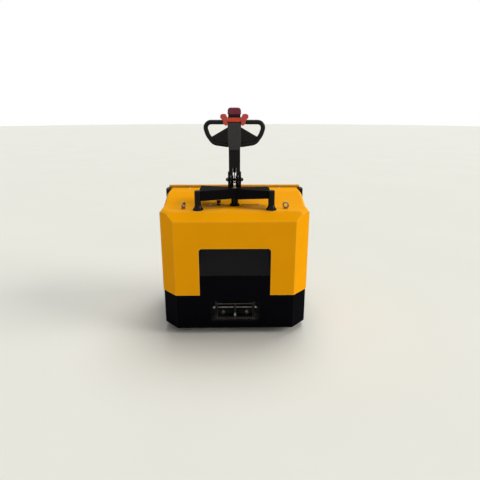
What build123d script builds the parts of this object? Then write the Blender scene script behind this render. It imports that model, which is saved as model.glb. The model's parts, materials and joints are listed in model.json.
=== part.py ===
from build123d import *
from math import sqrt
import os

os.makedirs("parts", exist_ok=True)

# Walk-behind electric tow tractor, in millimetres.
# +X is right and +Y points to the operator's end, seen from the towing end, and +Z is up.
# The origin lies on the floor, at the middle of the body's length and width.

# Body
body_length = 660.0
body_width = 900.0
near_corner = 90.0        # plan chamfer at the towing end
rear_corner = 75.0        # plan chamfer at the operator's end
skirt_bottom = 40.0
cover_bottom = 265.0
deck_height = 780.0
rise_height = 48.0
rear_drop = 13.0          # of the rear cover below the flat
near_bevel_depth = 55.0
near_bevel_drop = 50.0
rear_bevel = 60.0
edge_bevel = 15.0
corner_bevel_inset = 28.0  # of the corner's top edge, over the deck
corner_bevel_drop = 11.0
sheet = 4.0
seam = 2.0
fit_gap = 0.3             # between pieces that are seated on each other
swing_gap = 5.0           # between pieces that move past each other

half_length = body_length / 2
half_width = body_width / 2
top_height = deck_height + rise_height
rear_top_height = top_height - rear_drop
near_face = -half_length
rear_face = half_length

# Stations along the body, each from the near face
deck_length = 180.0
rise_length = 165.0
flat_length = 135.0
groove_width = 20.0
frame_plate_thickness = 20.0
frame_plate_overhang = 15.0
frame_plate_width = body_width + 2 * frame_plate_overhang
frame_plate_lip = 17.0     # above the flat
frame_plate_top = top_height + frame_plate_lip
deck_start = near_face + near_bevel_depth
rise_start = deck_start + deck_length
rise_end = rise_start + rise_length
flat_end = rise_end + flat_length
frame_plate_front = flat_end + groove_width
frame_plate_rear = frame_plate_front + frame_plate_thickness

# Skirts and chassis plate
skirt_wall = 8.0
skirt_inset = sheet + fit_gap
plate_inset = skirt_inset + skirt_wall + fit_gap
plate_thickness = 20.0
plate_bottom = 262.0
plate_top = plate_bottom + plate_thickness
side_panel_start = near_face + near_corner
side_panel_end = frame_plate_front - seam

# Recess of the near cover, and the black tongue in it
recess_width = 429.0
recess_top = 565.0
recess_radius = 20.0
tongue_gap = 2.5
tongue_bend = 393.0
tongue_lean = 38.0

# Towing coupling
mouth_width = 296.0
mouth_bottom = 91.0
mouth_top = 219.0
housing_wall = 12.0
housing_depth = 84.0
jaw_half_inside = 110.0
jaw_cheek = 14.0
jaw_depth = 62.0
jaw_thickness = 8.0
jaw_height = 200.0
jaw_rod_height = 180.0
jaw_rod_radius = 5.0
jaw_rod_head = 9.0
jaw_rod_head_length = 12.0
jaw_rod_end = 5.0
jaw_collar = 8.0
jaw_collar_x = 104.0
coupling_pin_radius = 6.0
coupling_pin_foot = 9.0
coupling_pin_foot_height = 28.0
coupling_pin_setback = 36.0
coupling_bolt_radius = 13.0
coupling_bolt_spacing = 156.0
coupling_bolt_height = 133.0

# Lifting eyes and the saddle on the deck
eye_inset = 140.0         # from the body's side
eye_x = half_width - eye_inset
eye_y = near_face + 125.0
eye_ring_radius = 21.0    # outside
eye_hole = 11.0
eye_thickness = 10.0
eye_height = 21.5         # of the ring's centre
eye_collar_radius = 12.0
eye_collar_height = 7.0
# Sign of X, sine and cosine of each ring's turn from facing the towing end
eye_table = [(-1, 0.927, 0.375), (1, -0.407, 0.914)]
side_post_x = 219.0
side_post_y = near_face + 94.0
side_post_radius = 19.0
side_post_top = deck_height + 117.0
side_post_foot = 31.5
side_post_foot_height = 28.0
side_post_waist = 24.0     # radius of the foot halfway up its flare
side_post_waist_height = 14.0
side_post_rim = 5.0
side_post_edge = 2.0
centre_post_y = near_face + 205.0
centre_post_radius = 21.5
centre_post_flange = 31.0
wing_top = deck_height + 111.0
wing_sheet = 6.0
wing_setback = 8.0        # of the outer end behind the side post's centre
wing_lap = 13.0           # of the outer end over the side post, which it is cut round
wing_inner_lead = 30.0    # of the inner end ahead of the centre post's centre
wing_inner_lag = 25.0
# Each wing: side, sign of X, folded edge at the centre post and at the side post, outer depth, far corner
wing_table = [("left", -1, 61.0, 61.0, 190.0, 5.0), ("right", 1, 68.0, 46.0, 145.0, 20.0)]

# Wheels
load_wheel_radius = 100.0
load_wheel_width = 60.0
load_wheel_inset = 115.0   # from the body's side
load_wheel_x = half_width - load_wheel_inset
load_wheel_y = near_face + 145.0
load_tread = 18.0
load_axle_radius = 12.5
bracket_thickness = 12.0
drive_wheel_radius = 115.0
drive_wheel_width = 75.0
drive_tread = 28.0
steering_setback = 435.0
steer_y = near_face + steering_setback
castor_inset = 120.0
castor_x = half_width - castor_inset
castor_setback = 480.0
castor_y = near_face + castor_setback
castor_wheel_radius = 62.5
castor_wheel_width = 34.0
castor_trail = 36.0
castor_axle_radius = 6.0
castor_housing_radius = 32.0
castor_head_height = 174.0
running_gap = 0.1

# Drive unit under the tiller
turntable_radius = 98.0
turntable_top = 300.0
bearing_outer = 118.0
motor_radius = 70.0
motor_top = 540.0
column_radius = 38.0
column_hole = 50.0
gearbox_width = 50.0
gearbox_radius = 70.0

# Tiller: heights above the flat, then above the pivot
tiller_pivot_height = top_height + 75.5
yoke_ear = 6.0
yoke_ear_gap = 0.5
yoke_ear_rise = 26.0
yoke_ear_radius = 28.0
yoke_foot = 38.0
yoke_base_radius = 62.0
yoke_base_thickness = 12.0
tiller_pin_radius = 8.0
tiller_pin_head = 12.0
tiller_pin_head_length = 12.0
arm_width = 75.0
arm_depth = 50.0
arm_wall = 8.5
arm_front_end = tiller_pivot_height + 29.5
arm_slot_width = 22.0
arm_slot_top = tiller_pivot_height + 81.5
head_bottom = tiller_pivot_height + 196.5
head_height = 213.0
head_top = head_bottom + head_height
head_width = 87.0
head_depth = 70.0
head_bulge = 9.0
head_taper = 54.0         # height of the taper at the lower end

# Loop handle
handle_tube = 30.0
handle_half_width = 204.0
handle_top = head_top - 17.0
handle_plate = 12.0

# Gas spring between the arm's upper pin and the clevis on the yoke
spring_upper_height = tiller_pivot_height + 176.5
spring_lower_offset = 23.0
spring_lower_drop = 19.0
spring_radius = 10.5
spring_rod_radius = 4.0
spring_pin_radius = 4.0
spring_eye_radius = 8.0
spring_eye_play = 4.9      # the lower eye's room round its pin
spring_eye_width = 12.0
yoke_drum_radius = 27.0    # of the block round the pivot
yoke_block_foot = 30.0
clevis_gap = 1.0


def plan_outline(inset, mode=Mode.ADD):
    """Draw the body's eight-sided plan, moved inwards by inset, in the active sketch."""
    shrink = inset * (2 - sqrt(2))
    x = half_width - inset
    near = near_face + inset
    rear = rear_face - inset
    near_leg = near_corner - shrink
    rear_leg = rear_corner - shrink
    with BuildLine() as outline:
        Polyline(
            (-x, near + near_leg), (-x + near_leg, near), (x - near_leg, near), (x, near + near_leg),
            (x, rear - rear_leg), (x - rear_leg, rear), (-x + rear_leg, rear), (-x, rear - rear_leg),
            close=True,
        )
    make_face(outline.edges(), mode=mode)


def side_band(*corners, mode=Mode.INTERSECT):
    """Keep what lies inside the outline given by (y, z) corners, over the whole width."""
    with BuildSketch(Plane.YZ) as band:
        with BuildLine():
            Polyline(*corners, close=True)
        make_face()
    extrude(band.sketch, amount=body_width, both=True, mode=mode)


# The form of all covers: the plan, cut by the side profile, with bevelled upper side edges
with BuildPart() as cover_form:
    with BuildSketch(Plane.XY.offset(cover_bottom)):
        plan_outline(0)
    extrude(amount=top_height - cover_bottom)
    side_band(
        (near_face, cover_bottom),
        (near_face, deck_height - near_bevel_drop),
        (deck_start, deck_height),
        (rise_start, deck_height),
        (rise_end, top_height),
        (frame_plate_rear, top_height),
        (frame_plate_rear, rear_top_height),
        (rear_face - rear_bevel, rear_top_height),
        (rear_face, rear_top_height - rear_bevel),
        (rear_face, cover_bottom),
    )
    upper_side_edges = [
        edge
        for face in cover_form.faces().filter_by(Axis.X)
        for edge in face.edges()
        if edge.bounding_box().min.Z > deck_height - near_bevel_drop and edge.center().Y < frame_plate_rear
        and abs(edge.tangent_at(0.5).Y) > 0.5
    ]
    chamfer(upper_side_edges, length=edge_bevel)
    deck = cover_form.faces().filter_by(
        lambda face: abs(face.center().Z - deck_height) < seam and face.normal_at().Z > 0.99
    )[0]
    corner_edges = deck.edges().filter_by(
        lambda edge: 0.5 < abs(edge.tangent_at(0.5).X) < 0.9
    )
    chamfer(corner_edges, length=corner_bevel_inset, length2=corner_bevel_drop, reference=deck)

with BuildPart() as cover_shell:
    add(cover_form.part)
    offset(amount=-sheet, openings=cover_shell.faces().sort_by(Axis.Z)[0], kind=Kind.INTERSECTION)

side_top = deck_height - edge_bevel

# Near cover: near face, corner chamfers and bevel, with the recess for the tongue
with BuildPart() as near_cover:
    add(cover_shell.part)
    side_band(
        (near_face - seam, cover_bottom - seam),
        (side_panel_start - seam / 2, cover_bottom - seam),
        (side_panel_start - seam / 2, side_top - seam / 2),
        (deck_start - seam / 2, side_top - seam / 2),
        (deck_start - seam / 2, top_height),
        (near_face - seam, top_height),
    )
    with BuildSketch(Plane.XZ.offset(half_length)) as recess:
        with Locations((0, cover_bottom)):
            Rectangle(recess_width, 2 * (recess_top - cover_bottom))
        fillet(recess.vertices().group_by(Axis.Y)[-1], recess_radius)
    extrude(amount=-2 * sheet, mode=Mode.SUBTRACT)
near_cover.part.label = "near_cover"
export_step(near_cover.part, "parts/near_cover.step")

# Side panels
for side, sign in (("left", -1), ("right", 1)):
    with BuildPart() as side_panel:
        add(cover_shell.part)
        side_band(
            (side_panel_start + seam / 2, cover_bottom - seam),
            (side_panel_end, cover_bottom - seam),
            (side_panel_end, side_top + (top_height - deck_height) - seam / 2),
            (rise_end, side_top + (top_height - deck_height) - seam / 2),
            (rise_start, side_top - seam / 2),
            (side_panel_start + seam / 2, side_top - seam / 2),
        )
        with Locations((sign * half_width, 0, top_height / 2)):
            Box(4 * sheet, body_length, top_height, mode=Mode.INTERSECT)
    side_panel.part.label = f"side_panel_{side}"
    export_step(side_panel.part, f"parts/side_panel_{side}.step")

# Top cover: deck, rise and flat, with the bevelled edges and the hole for the steering column
with BuildPart() as top_cover:
    add(cover_shell.part)
    side_band(
        (deck_start + seam / 2, side_top + seam / 2),
        (rise_start, side_top + seam / 2),
        (rise_end, side_top + (top_height - deck_height) + seam / 2),
        (flat_end, side_top + (top_height - deck_height) + seam / 2),
        (flat_end, top_height + seam),
        (deck_start + seam / 2, top_height + seam),
    )
    with Locations((0, steer_y, top_height)):
        Cylinder(column_hole, 4 * sheet, mode=Mode.SUBTRACT)
top_cover.part.label = "top_cover"
export_step(top_cover.part, "parts/top_cover.step")

# Rear cover with rows of louvre slots
louvre_rows = 5
louvre_pitch = 26.0
louvre_length = 150.0
louvre_height = 8.0
louvre_x = 190.0
louvre_centre = 420.0
with BuildPart() as rear_cover:
    add(cover_shell.part)
    side_band(
        (frame_plate_rear + seam / 2, cover_bottom - seam),
        (rear_face + seam, cover_bottom - seam),
        (rear_face + seam, top_height),
        (frame_plate_rear + seam / 2, top_height),
    )
    with BuildSketch(Plane.XZ.offset(-rear_face)):
        with Locations((0, louvre_centre)):
            with GridLocations(2 * louvre_x, louvre_pitch, 2, louvre_rows):
                SlotOverall(louvre_length, louvre_height)
    extrude(amount=2 * sheet, both=True, mode=Mode.SUBTRACT)
rear_cover.part.label = "rear_cover"
export_step(rear_cover.part, "parts/rear_cover.step")

# Rear frame plate: its upper edge stands above the covers as a lip
with BuildPart() as rear_frame_plate:
    with BuildSketch(Plane.XZ.offset(-frame_plate_front)):
        with Locations((0, (plate_top + frame_plate_top) / 2)):
            RectangleRounded(frame_plate_width, frame_plate_top - plate_top, 8)
    extrude(amount=-frame_plate_thickness)
rear_frame_plate.part.label = "rear_frame_plate"
export_step(rear_frame_plate.part, "parts/rear_frame_plate.step")

# Rubber seal in the groove between top cover and frame plate
seal_height = 24.0
seal_sink = 2.0
with BuildPart() as groove_seal:
    with Locations((0, flat_end + groove_width / 2, top_height - seal_sink - seal_height / 2)):
        Box(body_width - 2 * edge_bevel - 2 * sheet, groove_width - 2 * fit_gap, seal_height)
groove_seal.part.label = "groove_seal"
export_step(groove_seal.part, "parts/groove_seal.step")

# Rubber bumpers on both sides in front of the frame plate
bumper_thickness = 25.0
bumper_length = 72.0
bumper_bottom = 120.0
bumper_top = frame_plate_top - 15.0
with BuildPart() as corner_bumpers:
    for sign in (-1, 1):
        with BuildSketch(Plane.XY.offset(bumper_bottom)):
            with Locations((
                sign * (half_width + fit_gap + bumper_thickness / 2),
                frame_plate_front - seam - bumper_length / 2,
            )):
                Rectangle(bumper_thickness, bumper_length)
        extrude(amount=bumper_top - bumper_bottom)
    outer_edges = corner_bumpers.edges().filter_by(Axis.Z).filter_by(
        lambda edge: abs(edge.center().X) > half_width + bumper_thickness / 2
    )
    fillet(outer_edges, 10)
corner_bumpers.part.label = "corner_bumpers"
export_step(corner_bumpers.part, "parts/corner_bumpers.step")

# Skirt ring below the covers, which is cut into four skirts
with BuildPart() as skirt_ring:
    with BuildSketch(Plane.XY.offset(skirt_bottom)):
        plan_outline(skirt_inset)
        plan_outline(skirt_inset + skirt_wall, mode=Mode.SUBTRACT)
    extrude(amount=plate_top - skirt_bottom)

skirt_front = near_face + skirt_inset
skirt_back = skirt_front + skirt_wall

# Near skirt with the vertical part of the tongue and the mouth of the coupling
with BuildPart() as near_skirt:
    add(skirt_ring.part)
    side_band(
        (near_face, 0), (side_panel_start - seam / 2, 0),
        (side_panel_start - seam / 2, top_height), (near_face, top_height),
    )
    with BuildSketch(Plane.XZ.offset(-skirt_front)):
        with Locations((0, (plate_bottom + tongue_bend) / 2)):
            Rectangle(recess_width - 2 * tongue_gap, tongue_bend - plate_bottom)
    extrude(amount=-skirt_wall)
    with BuildSketch(Plane.XZ.offset(-skirt_front)):
        with Locations((0, (mouth_bottom + mouth_top) / 2)):
            RectangleRounded(mouth_width, mouth_top - mouth_bottom, 6)
    extrude(amount=-2 * skirt_wall, both=True, mode=Mode.SUBTRACT)
near_skirt.part.label = "near_skirt"
export_step(near_skirt.part, "parts/near_skirt.step")

# Sloping upper part of the tongue, with its two cheeks
with BuildPart() as tongue_panel:
    with BuildSketch(Plane.YZ):
        with BuildLine():
            Polyline(
                (skirt_front, tongue_bend + fit_gap),
                (skirt_front + tongue_lean, recess_top - tongue_gap),
                (skirt_front + tongue_lean + skirt_wall, recess_top - tongue_gap),
                (skirt_back, tongue_bend + fit_gap),
                close=True,
            )
        make_face()
    extrude(amount=recess_width / 2 - tongue_gap, both=True)
    for sign in (-1, 1):
        with BuildSketch(Plane.YZ.offset(sign * (recess_width / 2 - tongue_gap))):
            with BuildLine():
                Polyline(
                    (skirt_front, tongue_bend + fit_gap),
                    (skirt_front, recess_top - tongue_gap),
                    (skirt_front + tongue_lean, recess_top - tongue_gap),
                    close=True,
                )
            make_face()
        extrude(amount=-sign * sheet)
tongue_panel.part.label = "tongue_panel"
export_step(tongue_panel.part, "parts/tongue_panel.step")

for side, sign in (("left", -1), ("right", 1)):
    with BuildPart() as side_skirt:
        add(skirt_ring.part)
        side_band(
            (side_panel_start + seam / 2, 0), (frame_plate_rear - seam / 2, 0),
            (frame_plate_rear - seam / 2, top_height), (side_panel_start + seam / 2, top_height),
        )
        with Locations((sign * half_width, 0, plate_top / 2)):
            Box(8 * skirt_wall, body_length, plate_top, mode=Mode.INTERSECT)
    side_skirt.part.label = f"side_skirt_{side}"
    export_step(side_skirt.part, f"parts/side_skirt_{side}.step")

with BuildPart() as rear_skirt:
    add(skirt_ring.part)
    side_band(
        (frame_plate_rear + seam / 2, 0), (rear_face, 0),
        (rear_face, top_height), (frame_plate_rear + seam / 2, top_height),
    )
rear_skirt.part.label = "rear_skirt"
export_step(rear_skirt.part, "parts/rear_skirt.step")

# Chassis plate inside the skirts
coupling_pin_y = skirt_back + coupling_pin_setback
pin_passage = 22.0
pin_head_radius = 14.0
bearing_seat = 7.0
with BuildPart() as chassis_plate:
    with BuildSketch(Plane.XY.offset(plate_bottom)):
        plan_outline(plate_inset)
        with Locations((0, steer_y)):
            Circle(turntable_radius + bearing_seat, mode=Mode.SUBTRACT)
        with Locations((0, coupling_pin_y)):
            Circle(pin_passage, mode=Mode.SUBTRACT)
    extrude(amount=plate_thickness)
chassis_plate.part.label = "chassis_plate"
export_step(chassis_plate.part, "parts/chassis_plate.step")

# Traction battery, closed in by the covers
battery_width = 580.0
battery_length = 230.0
battery_height = 390.0
battery_y = coupling_pin_y + pin_head_radius + swing_gap + battery_length / 2
with BuildPart() as battery:
    with Locations((0, battery_y, plate_top + fit_gap + battery_height / 2)):
        Box(battery_width, battery_length, battery_height)
battery.part.label = "battery"
export_step(battery.part, "parts/battery.step")

# Towing coupling: open casing behind the mouth, with jaw plate, lip and cross rod
housing_front = skirt_back + fit_gap
housing_back = housing_front + housing_depth
housing_middle = (housing_front + housing_back) / 2
jaw_middle = housing_back - housing_wall - jaw_depth / 2
jaw_rod_y = coupling_pin_y + coupling_pin_foot + swing_gap + jaw_rod_radius
housing_half_inside = mouth_width / 2 - 2 * fit_gap
jaw_outside = jaw_half_inside + jaw_cheek
with BuildPart() as coupling_housing:
    with Locations((0, housing_middle, (mouth_bottom + plate_bottom) / 2)):
        Box(
            2 * (housing_half_inside + housing_wall),
            housing_depth,
            plate_bottom - mouth_bottom - 2 * fit_gap,
        )
    with Locations((0, housing_middle - housing_wall, (mouth_bottom + mouth_top) / 2)):
        Box(2 * housing_half_inside, housing_depth, mouth_top - mouth_bottom + fit_gap, mode=Mode.SUBTRACT)
    for height in (jaw_height, mouth_bottom + jaw_thickness / 2 + fit_gap):
        with Locations((0, jaw_middle, height)):
            Box(2 * jaw_outside, jaw_depth, jaw_thickness)
    with Locations((0, jaw_middle, (mouth_bottom + mouth_top) / 2)):
        with GridLocations(2 * jaw_half_inside + jaw_cheek, 1, 2, 1):
            Box(jaw_cheek, jaw_depth, mouth_top - mouth_bottom)
    with BuildSketch(Plane.XZ.offset(-(housing_back - housing_wall))):
        with Locations((0, coupling_bolt_height)):
            with GridLocations(coupling_bolt_spacing, 1, 2, 1):
                Circle(coupling_bolt_radius)
    extrude(amount=jaw_thickness)
    with BuildSketch(Plane.YZ):
        with Locations((jaw_rod_y, jaw_rod_height)):
            Circle(jaw_rod_radius)
    extrude(amount=jaw_outside + jaw_rod_head_length + jaw_rod_end, both=True)
    # Heads outside the cheeks and collars inside them: distance from the middle, length, radius
    for start, length, radius in (
        (jaw_outside, jaw_rod_head_length, jaw_rod_head),
        (jaw_collar_x, jaw_half_inside - jaw_collar_x, jaw_collar),
    ):
        for sign in (-1, 1):
            with BuildSketch(Plane.YZ.offset(sign * start)):
                with Locations((jaw_rod_y, jaw_rod_height)):
                    Circle(radius)
            extrude(amount=sign * length)
    with Locations((0, coupling_pin_y, plate_bottom / 2)):
        Cylinder(coupling_pin_foot + 2 * fit_gap, plate_bottom, mode=Mode.SUBTRACT)
coupling_housing.part.label = "coupling_housing"
export_step(coupling_housing.part, "parts/coupling_housing.step")

# Coupling pin that lifts out of the mouth: round head, slim shank and flared foot
pin_bottom = mouth_bottom + 2
pin_head_height = 12.0
with BuildPart() as coupling_pin:
    with BuildSketch(Plane((0, coupling_pin_y, 0), x_dir=(1, 0, 0), z_dir=(0, -1, 0))):
        with BuildLine():
            Polyline(
                (0, pin_bottom),
                (coupling_pin_radius, pin_bottom),
                (coupling_pin_foot, pin_bottom + coupling_pin_foot - coupling_pin_radius),
                (coupling_pin_radius, pin_bottom + coupling_pin_foot_height),
                (coupling_pin_radius, plate_bottom + fit_gap),
                (pin_head_radius, plate_bottom + fit_gap),
                (pin_head_radius, plate_bottom + fit_gap + pin_head_height),
                (0, plate_bottom + fit_gap + pin_head_height),
                close=True,
            )
        make_face()
    revolve(axis=Axis((0, coupling_pin_y, 0), (0, 0, 1)))
coupling_pin.part.label = "coupling_pin"
export_step(coupling_pin.part, "parts/coupling_pin.step")

# Lifting eyes on the deck: a rounded ring in a collar
with BuildPart() as lifting_eyes:
    for sign, sine, cosine in eye_table:
        facing = Plane(
            (sign * eye_x, eye_y, 0), x_dir=(cosine, sine, 0), z_dir=(sine, -cosine, 0)
        )
        with BuildSketch(facing.offset(-eye_thickness / 2)):
            with Locations((0, deck_height + eye_height)):
                Circle(eye_ring_radius)
        extrude(amount=eye_thickness)
    fillet(lifting_eyes.edges().filter_by(GeomType.CIRCLE), 0.4 * eye_thickness)
    for sign, sine, cosine in eye_table:
        facing = Plane(
            (sign * eye_x, eye_y, 0), x_dir=(cosine, sine, 0), z_dir=(sine, -cosine, 0)
        )
        with BuildSketch(Plane.XY.offset(deck_height + fit_gap)):
            with Locations((sign * eye_x, eye_y)):
                Circle(eye_collar_radius)
        extrude(amount=eye_collar_height)
        with BuildSketch(facing):
            with Locations((0, deck_height + eye_height)):
                Circle(eye_hole)
        extrude(amount=eye_ring_radius, both=True, mode=Mode.SUBTRACT)
lifting_eyes.part.label = "lifting_eyes"
export_step(lifting_eyes.part, "parts/lifting_eyes.step")

# Side posts of the saddle, each on a flared foot
with BuildPart() as saddle_posts:
    for sign in (-1, 1):
        with BuildSketch(Plane((sign * side_post_x, side_post_y, 0), x_dir=(1, 0, 0), z_dir=(0, -1, 0))):
            with BuildLine():
                Polyline(
                    (0, deck_height + fit_gap),
                    (side_post_foot, deck_height + fit_gap),
                    (side_post_foot, deck_height + side_post_rim),
                    (side_post_waist, deck_height + side_post_waist_height),
                    (side_post_radius, deck_height + side_post_foot_height),
                    (side_post_radius, side_post_top - side_post_edge),
                    (side_post_radius - side_post_edge, side_post_top),
                    (0, side_post_top),
                    close=True,
                )
            make_face()
        revolve(axis=Axis((sign * side_post_x, side_post_y, 0), (0, 0, 1)))
saddle_posts.part.label = "saddle_posts"
export_step(saddle_posts.part, "parts/saddle_posts.step")

with BuildPart() as centre_post:
    with BuildSketch(Plane.XY.offset(deck_height + fit_gap)):
        with Locations((0, centre_post_y)):
            Circle(centre_post_flange)
    extrude(amount=8)
    with BuildSketch(Plane.XY.offset(deck_height + fit_gap)):
        with Locations((0, centre_post_y)):
            Circle(centre_post_radius)
    extrude(amount=wing_top - wing_sheet - deck_height - 2 * fit_gap)
centre_post.part.label = "centre_post"
export_step(centre_post.part, "parts/centre_post.step")

# Saddle wings: folded sheet that laps over the centre post and is cut round the side post
for side, sign, inner_drop, outer_drop, outer_depth, far_corner in wing_table:
    outer_x = side_post_x - side_post_radius + wing_lap
    inner_x = seam / 2
    outer_front = side_post_y + wing_setback
    outer_rear = outer_front + outer_depth
    inner_front = centre_post_y - wing_inner_lead
    inner_rear = centre_post_y + wing_inner_lag
    deepest = max(inner_drop, outer_drop)
    with BuildPart() as saddle_wing:
        with BuildSketch(Plane.XY.offset(wing_top - deepest)) as wing_plan:
            with BuildLine():
                Polyline(
                    (sign * inner_x, inner_front), (sign * outer_x, outer_front),
                    (sign * outer_x, outer_rear), (sign * inner_x, inner_rear),
                    close=True,
                )
            make_face()
            fillet(wing_plan.vertices().sort_by(Axis.Y)[-1], far_corner)
        extrude(amount=deepest)
        bottom = saddle_wing.faces().sort_by(Axis.Z)[0]
        inner_end = saddle_wing.faces().filter_by(Axis.X).sort_by(lambda face: abs(face.center().X))[0]
        offset(amount=-wing_sheet, openings=[bottom, inner_end], kind=Kind.INTERSECTION)
        with BuildSketch(Plane.XZ.offset(half_length)):
            with BuildLine():
                Polyline(
                    (sign * inner_x, wing_top - inner_drop), (sign * outer_x, wing_top - outer_drop),
                    (sign * outer_x, wing_top - 2 * deepest), (sign * inner_x, wing_top - 2 * deepest),
                    close=True,
                )
            make_face()
        extrude(amount=-body_length, mode=Mode.SUBTRACT)
        with BuildSketch(Plane.XY.offset(deck_height)):
            with Locations((sign * side_post_x, side_post_y)):
                Circle(side_post_radius + fit_gap)
        extrude(amount=side_post_top - deck_height, mode=Mode.SUBTRACT)
        with BuildSketch(Plane.XY.offset(deck_height)):
            with Locations((0, centre_post_y)):
                Circle(centre_post_radius + fit_gap)
        extrude(amount=wing_top - wing_sheet - deck_height, mode=Mode.SUBTRACT)
    saddle_wing.part.label = f"saddle_wing_{side}"
    export_step(saddle_wing.part, f"parts/saddle_wing_{side}.step")

# Load wheels near the towing end, between hanging plates
bracket_reach = 45.0
bracket_eye_wall = 16.0
bracket_offset = load_wheel_width / 2 + swing_gap
with BuildPart() as load_brackets:
    for sign in (-1, 1):
        for offset_x in (-bracket_offset - bracket_thickness, bracket_offset):
            with BuildSketch(Plane.YZ.offset(sign * load_wheel_x + offset_x)):
                with BuildLine():
                    CenterArc((load_wheel_y, load_wheel_radius), load_axle_radius + bracket_eye_wall, 180, 180)
                    Line(
                        (load_wheel_y - bracket_reach, plate_bottom - fit_gap),
                        (load_wheel_y + bracket_reach, plate_bottom - fit_gap),
                    )
                make_hull()
                with Locations((load_wheel_y, load_wheel_radius)):
                    Circle(load_axle_radius + running_gap, mode=Mode.SUBTRACT)
            extrude(amount=bracket_thickness)
load_brackets.part.label = "load_brackets"
export_step(load_brackets.part, "parts/load_brackets.step")

axle_head = 4.0
axle_head_rim = 6.0
with BuildPart() as load_axles:
    for sign in (-1, 1):
        half_axle = bracket_offset + bracket_thickness + fit_gap
        with BuildSketch(Plane.YZ.offset(sign * load_wheel_x - half_axle)):
            with Locations((load_wheel_y, load_wheel_radius)):
                Circle(load_axle_radius)
        extrude(amount=2 * half_axle)
        for end in (-half_axle - axle_head, half_axle):
            with BuildSketch(Plane.YZ.offset(sign * load_wheel_x + end)):
                with Locations((load_wheel_y, load_wheel_radius)):
                    Circle(load_axle_radius + axle_head_rim)
            extrude(amount=axle_head)
load_axles.part.label = "load_axles"
export_step(load_axles.part, "parts/load_axles.step")

hub_step = 4.0             # of the hub's faces inside the tyre's
hub_rim = 10.0
hub_dish = 14.0
hub_boss = 14.0
boss_gap = 0.5             # between a turning boss and its bracket or fork
for side, sign in (("left", -1), ("right", 1)):
    wheel_plane = Plane.YZ.offset(sign * load_wheel_x)
    rim = load_wheel_radius - load_tread
    with BuildPart() as load_tyre:
        with BuildSketch(wheel_plane):
            with Locations((load_wheel_y, load_wheel_radius)):
                Circle(load_wheel_radius)
                Circle(rim, mode=Mode.SUBTRACT)
        extrude(amount=load_wheel_width / 2, both=True)
    load_tyre.part.label = f"load_tyre_{side}"
    export_step(load_tyre.part, f"parts/load_tyre_{side}.step")

    with BuildPart() as load_hub:
        with BuildSketch(wheel_plane):
            with Locations((load_wheel_y, load_wheel_radius)):
                Circle(rim - running_gap)
        extrude(amount=load_wheel_width / 2 - hub_step, both=True)
        for face in (-1, 1):
            with BuildSketch(wheel_plane.offset(face * (load_wheel_width / 2 - hub_step))):
                with Locations((load_wheel_y, load_wheel_radius)):
                    Circle(rim - hub_rim)
                    Circle(load_axle_radius + hub_boss, mode=Mode.SUBTRACT)
            extrude(amount=-face * hub_dish, mode=Mode.SUBTRACT)
        with BuildSketch(wheel_plane):
            with Locations((load_wheel_y, load_wheel_radius)):
                Circle(load_axle_radius + hub_boss)
        extrude(amount=load_wheel_width / 2 + swing_gap - boss_gap, both=True)
        with BuildSketch(wheel_plane):
            with Locations((load_wheel_y, load_wheel_radius)):
                Circle(load_axle_radius + running_gap)
        extrude(amount=load_wheel_width, both=True, mode=Mode.SUBTRACT)
    load_hub.part.label = f"load_hub_{side}"
    export_step(load_hub.part, f"parts/load_hub_{side}.step")

# Swivel castors beside the drive wheel: housing under the plate, fork and wheel
castor_axle_y = castor_y - castor_trail
castor_leg = 5.0
castor_leg_end = 13.0
castor_leg_rear = 24.0     # of the leg's top before the swivel
castor_leg_front = 20.0
castor_boss = 16.0
castor_plate_width = 100.0
castor_plate_length = 90.0
castor_plate_thickness = 8.0
castor_swivel_gap = 0.5
castor_leg_offset = castor_wheel_width / 2 + swing_gap
castor_head_thickness = 12.0
with BuildPart() as castor_housings:
    with BuildSketch(Plane.XY.offset(castor_head_height + castor_swivel_gap)):
        with Locations((-castor_x, castor_y), (castor_x, castor_y)):
            Circle(castor_housing_radius)
    extrude(amount=plate_bottom - fit_gap - castor_head_height - castor_swivel_gap)
    with BuildSketch(Plane.XY.offset(plate_bottom - fit_gap)):
        with Locations((-castor_x, castor_y), (castor_x, castor_y)):
            RectangleRounded(castor_plate_width, castor_plate_length, 8)
    extrude(amount=-castor_plate_thickness)
castor_housings.part.label = "castor_housings"
export_step(castor_housings.part, "parts/castor_housings.step")

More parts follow.
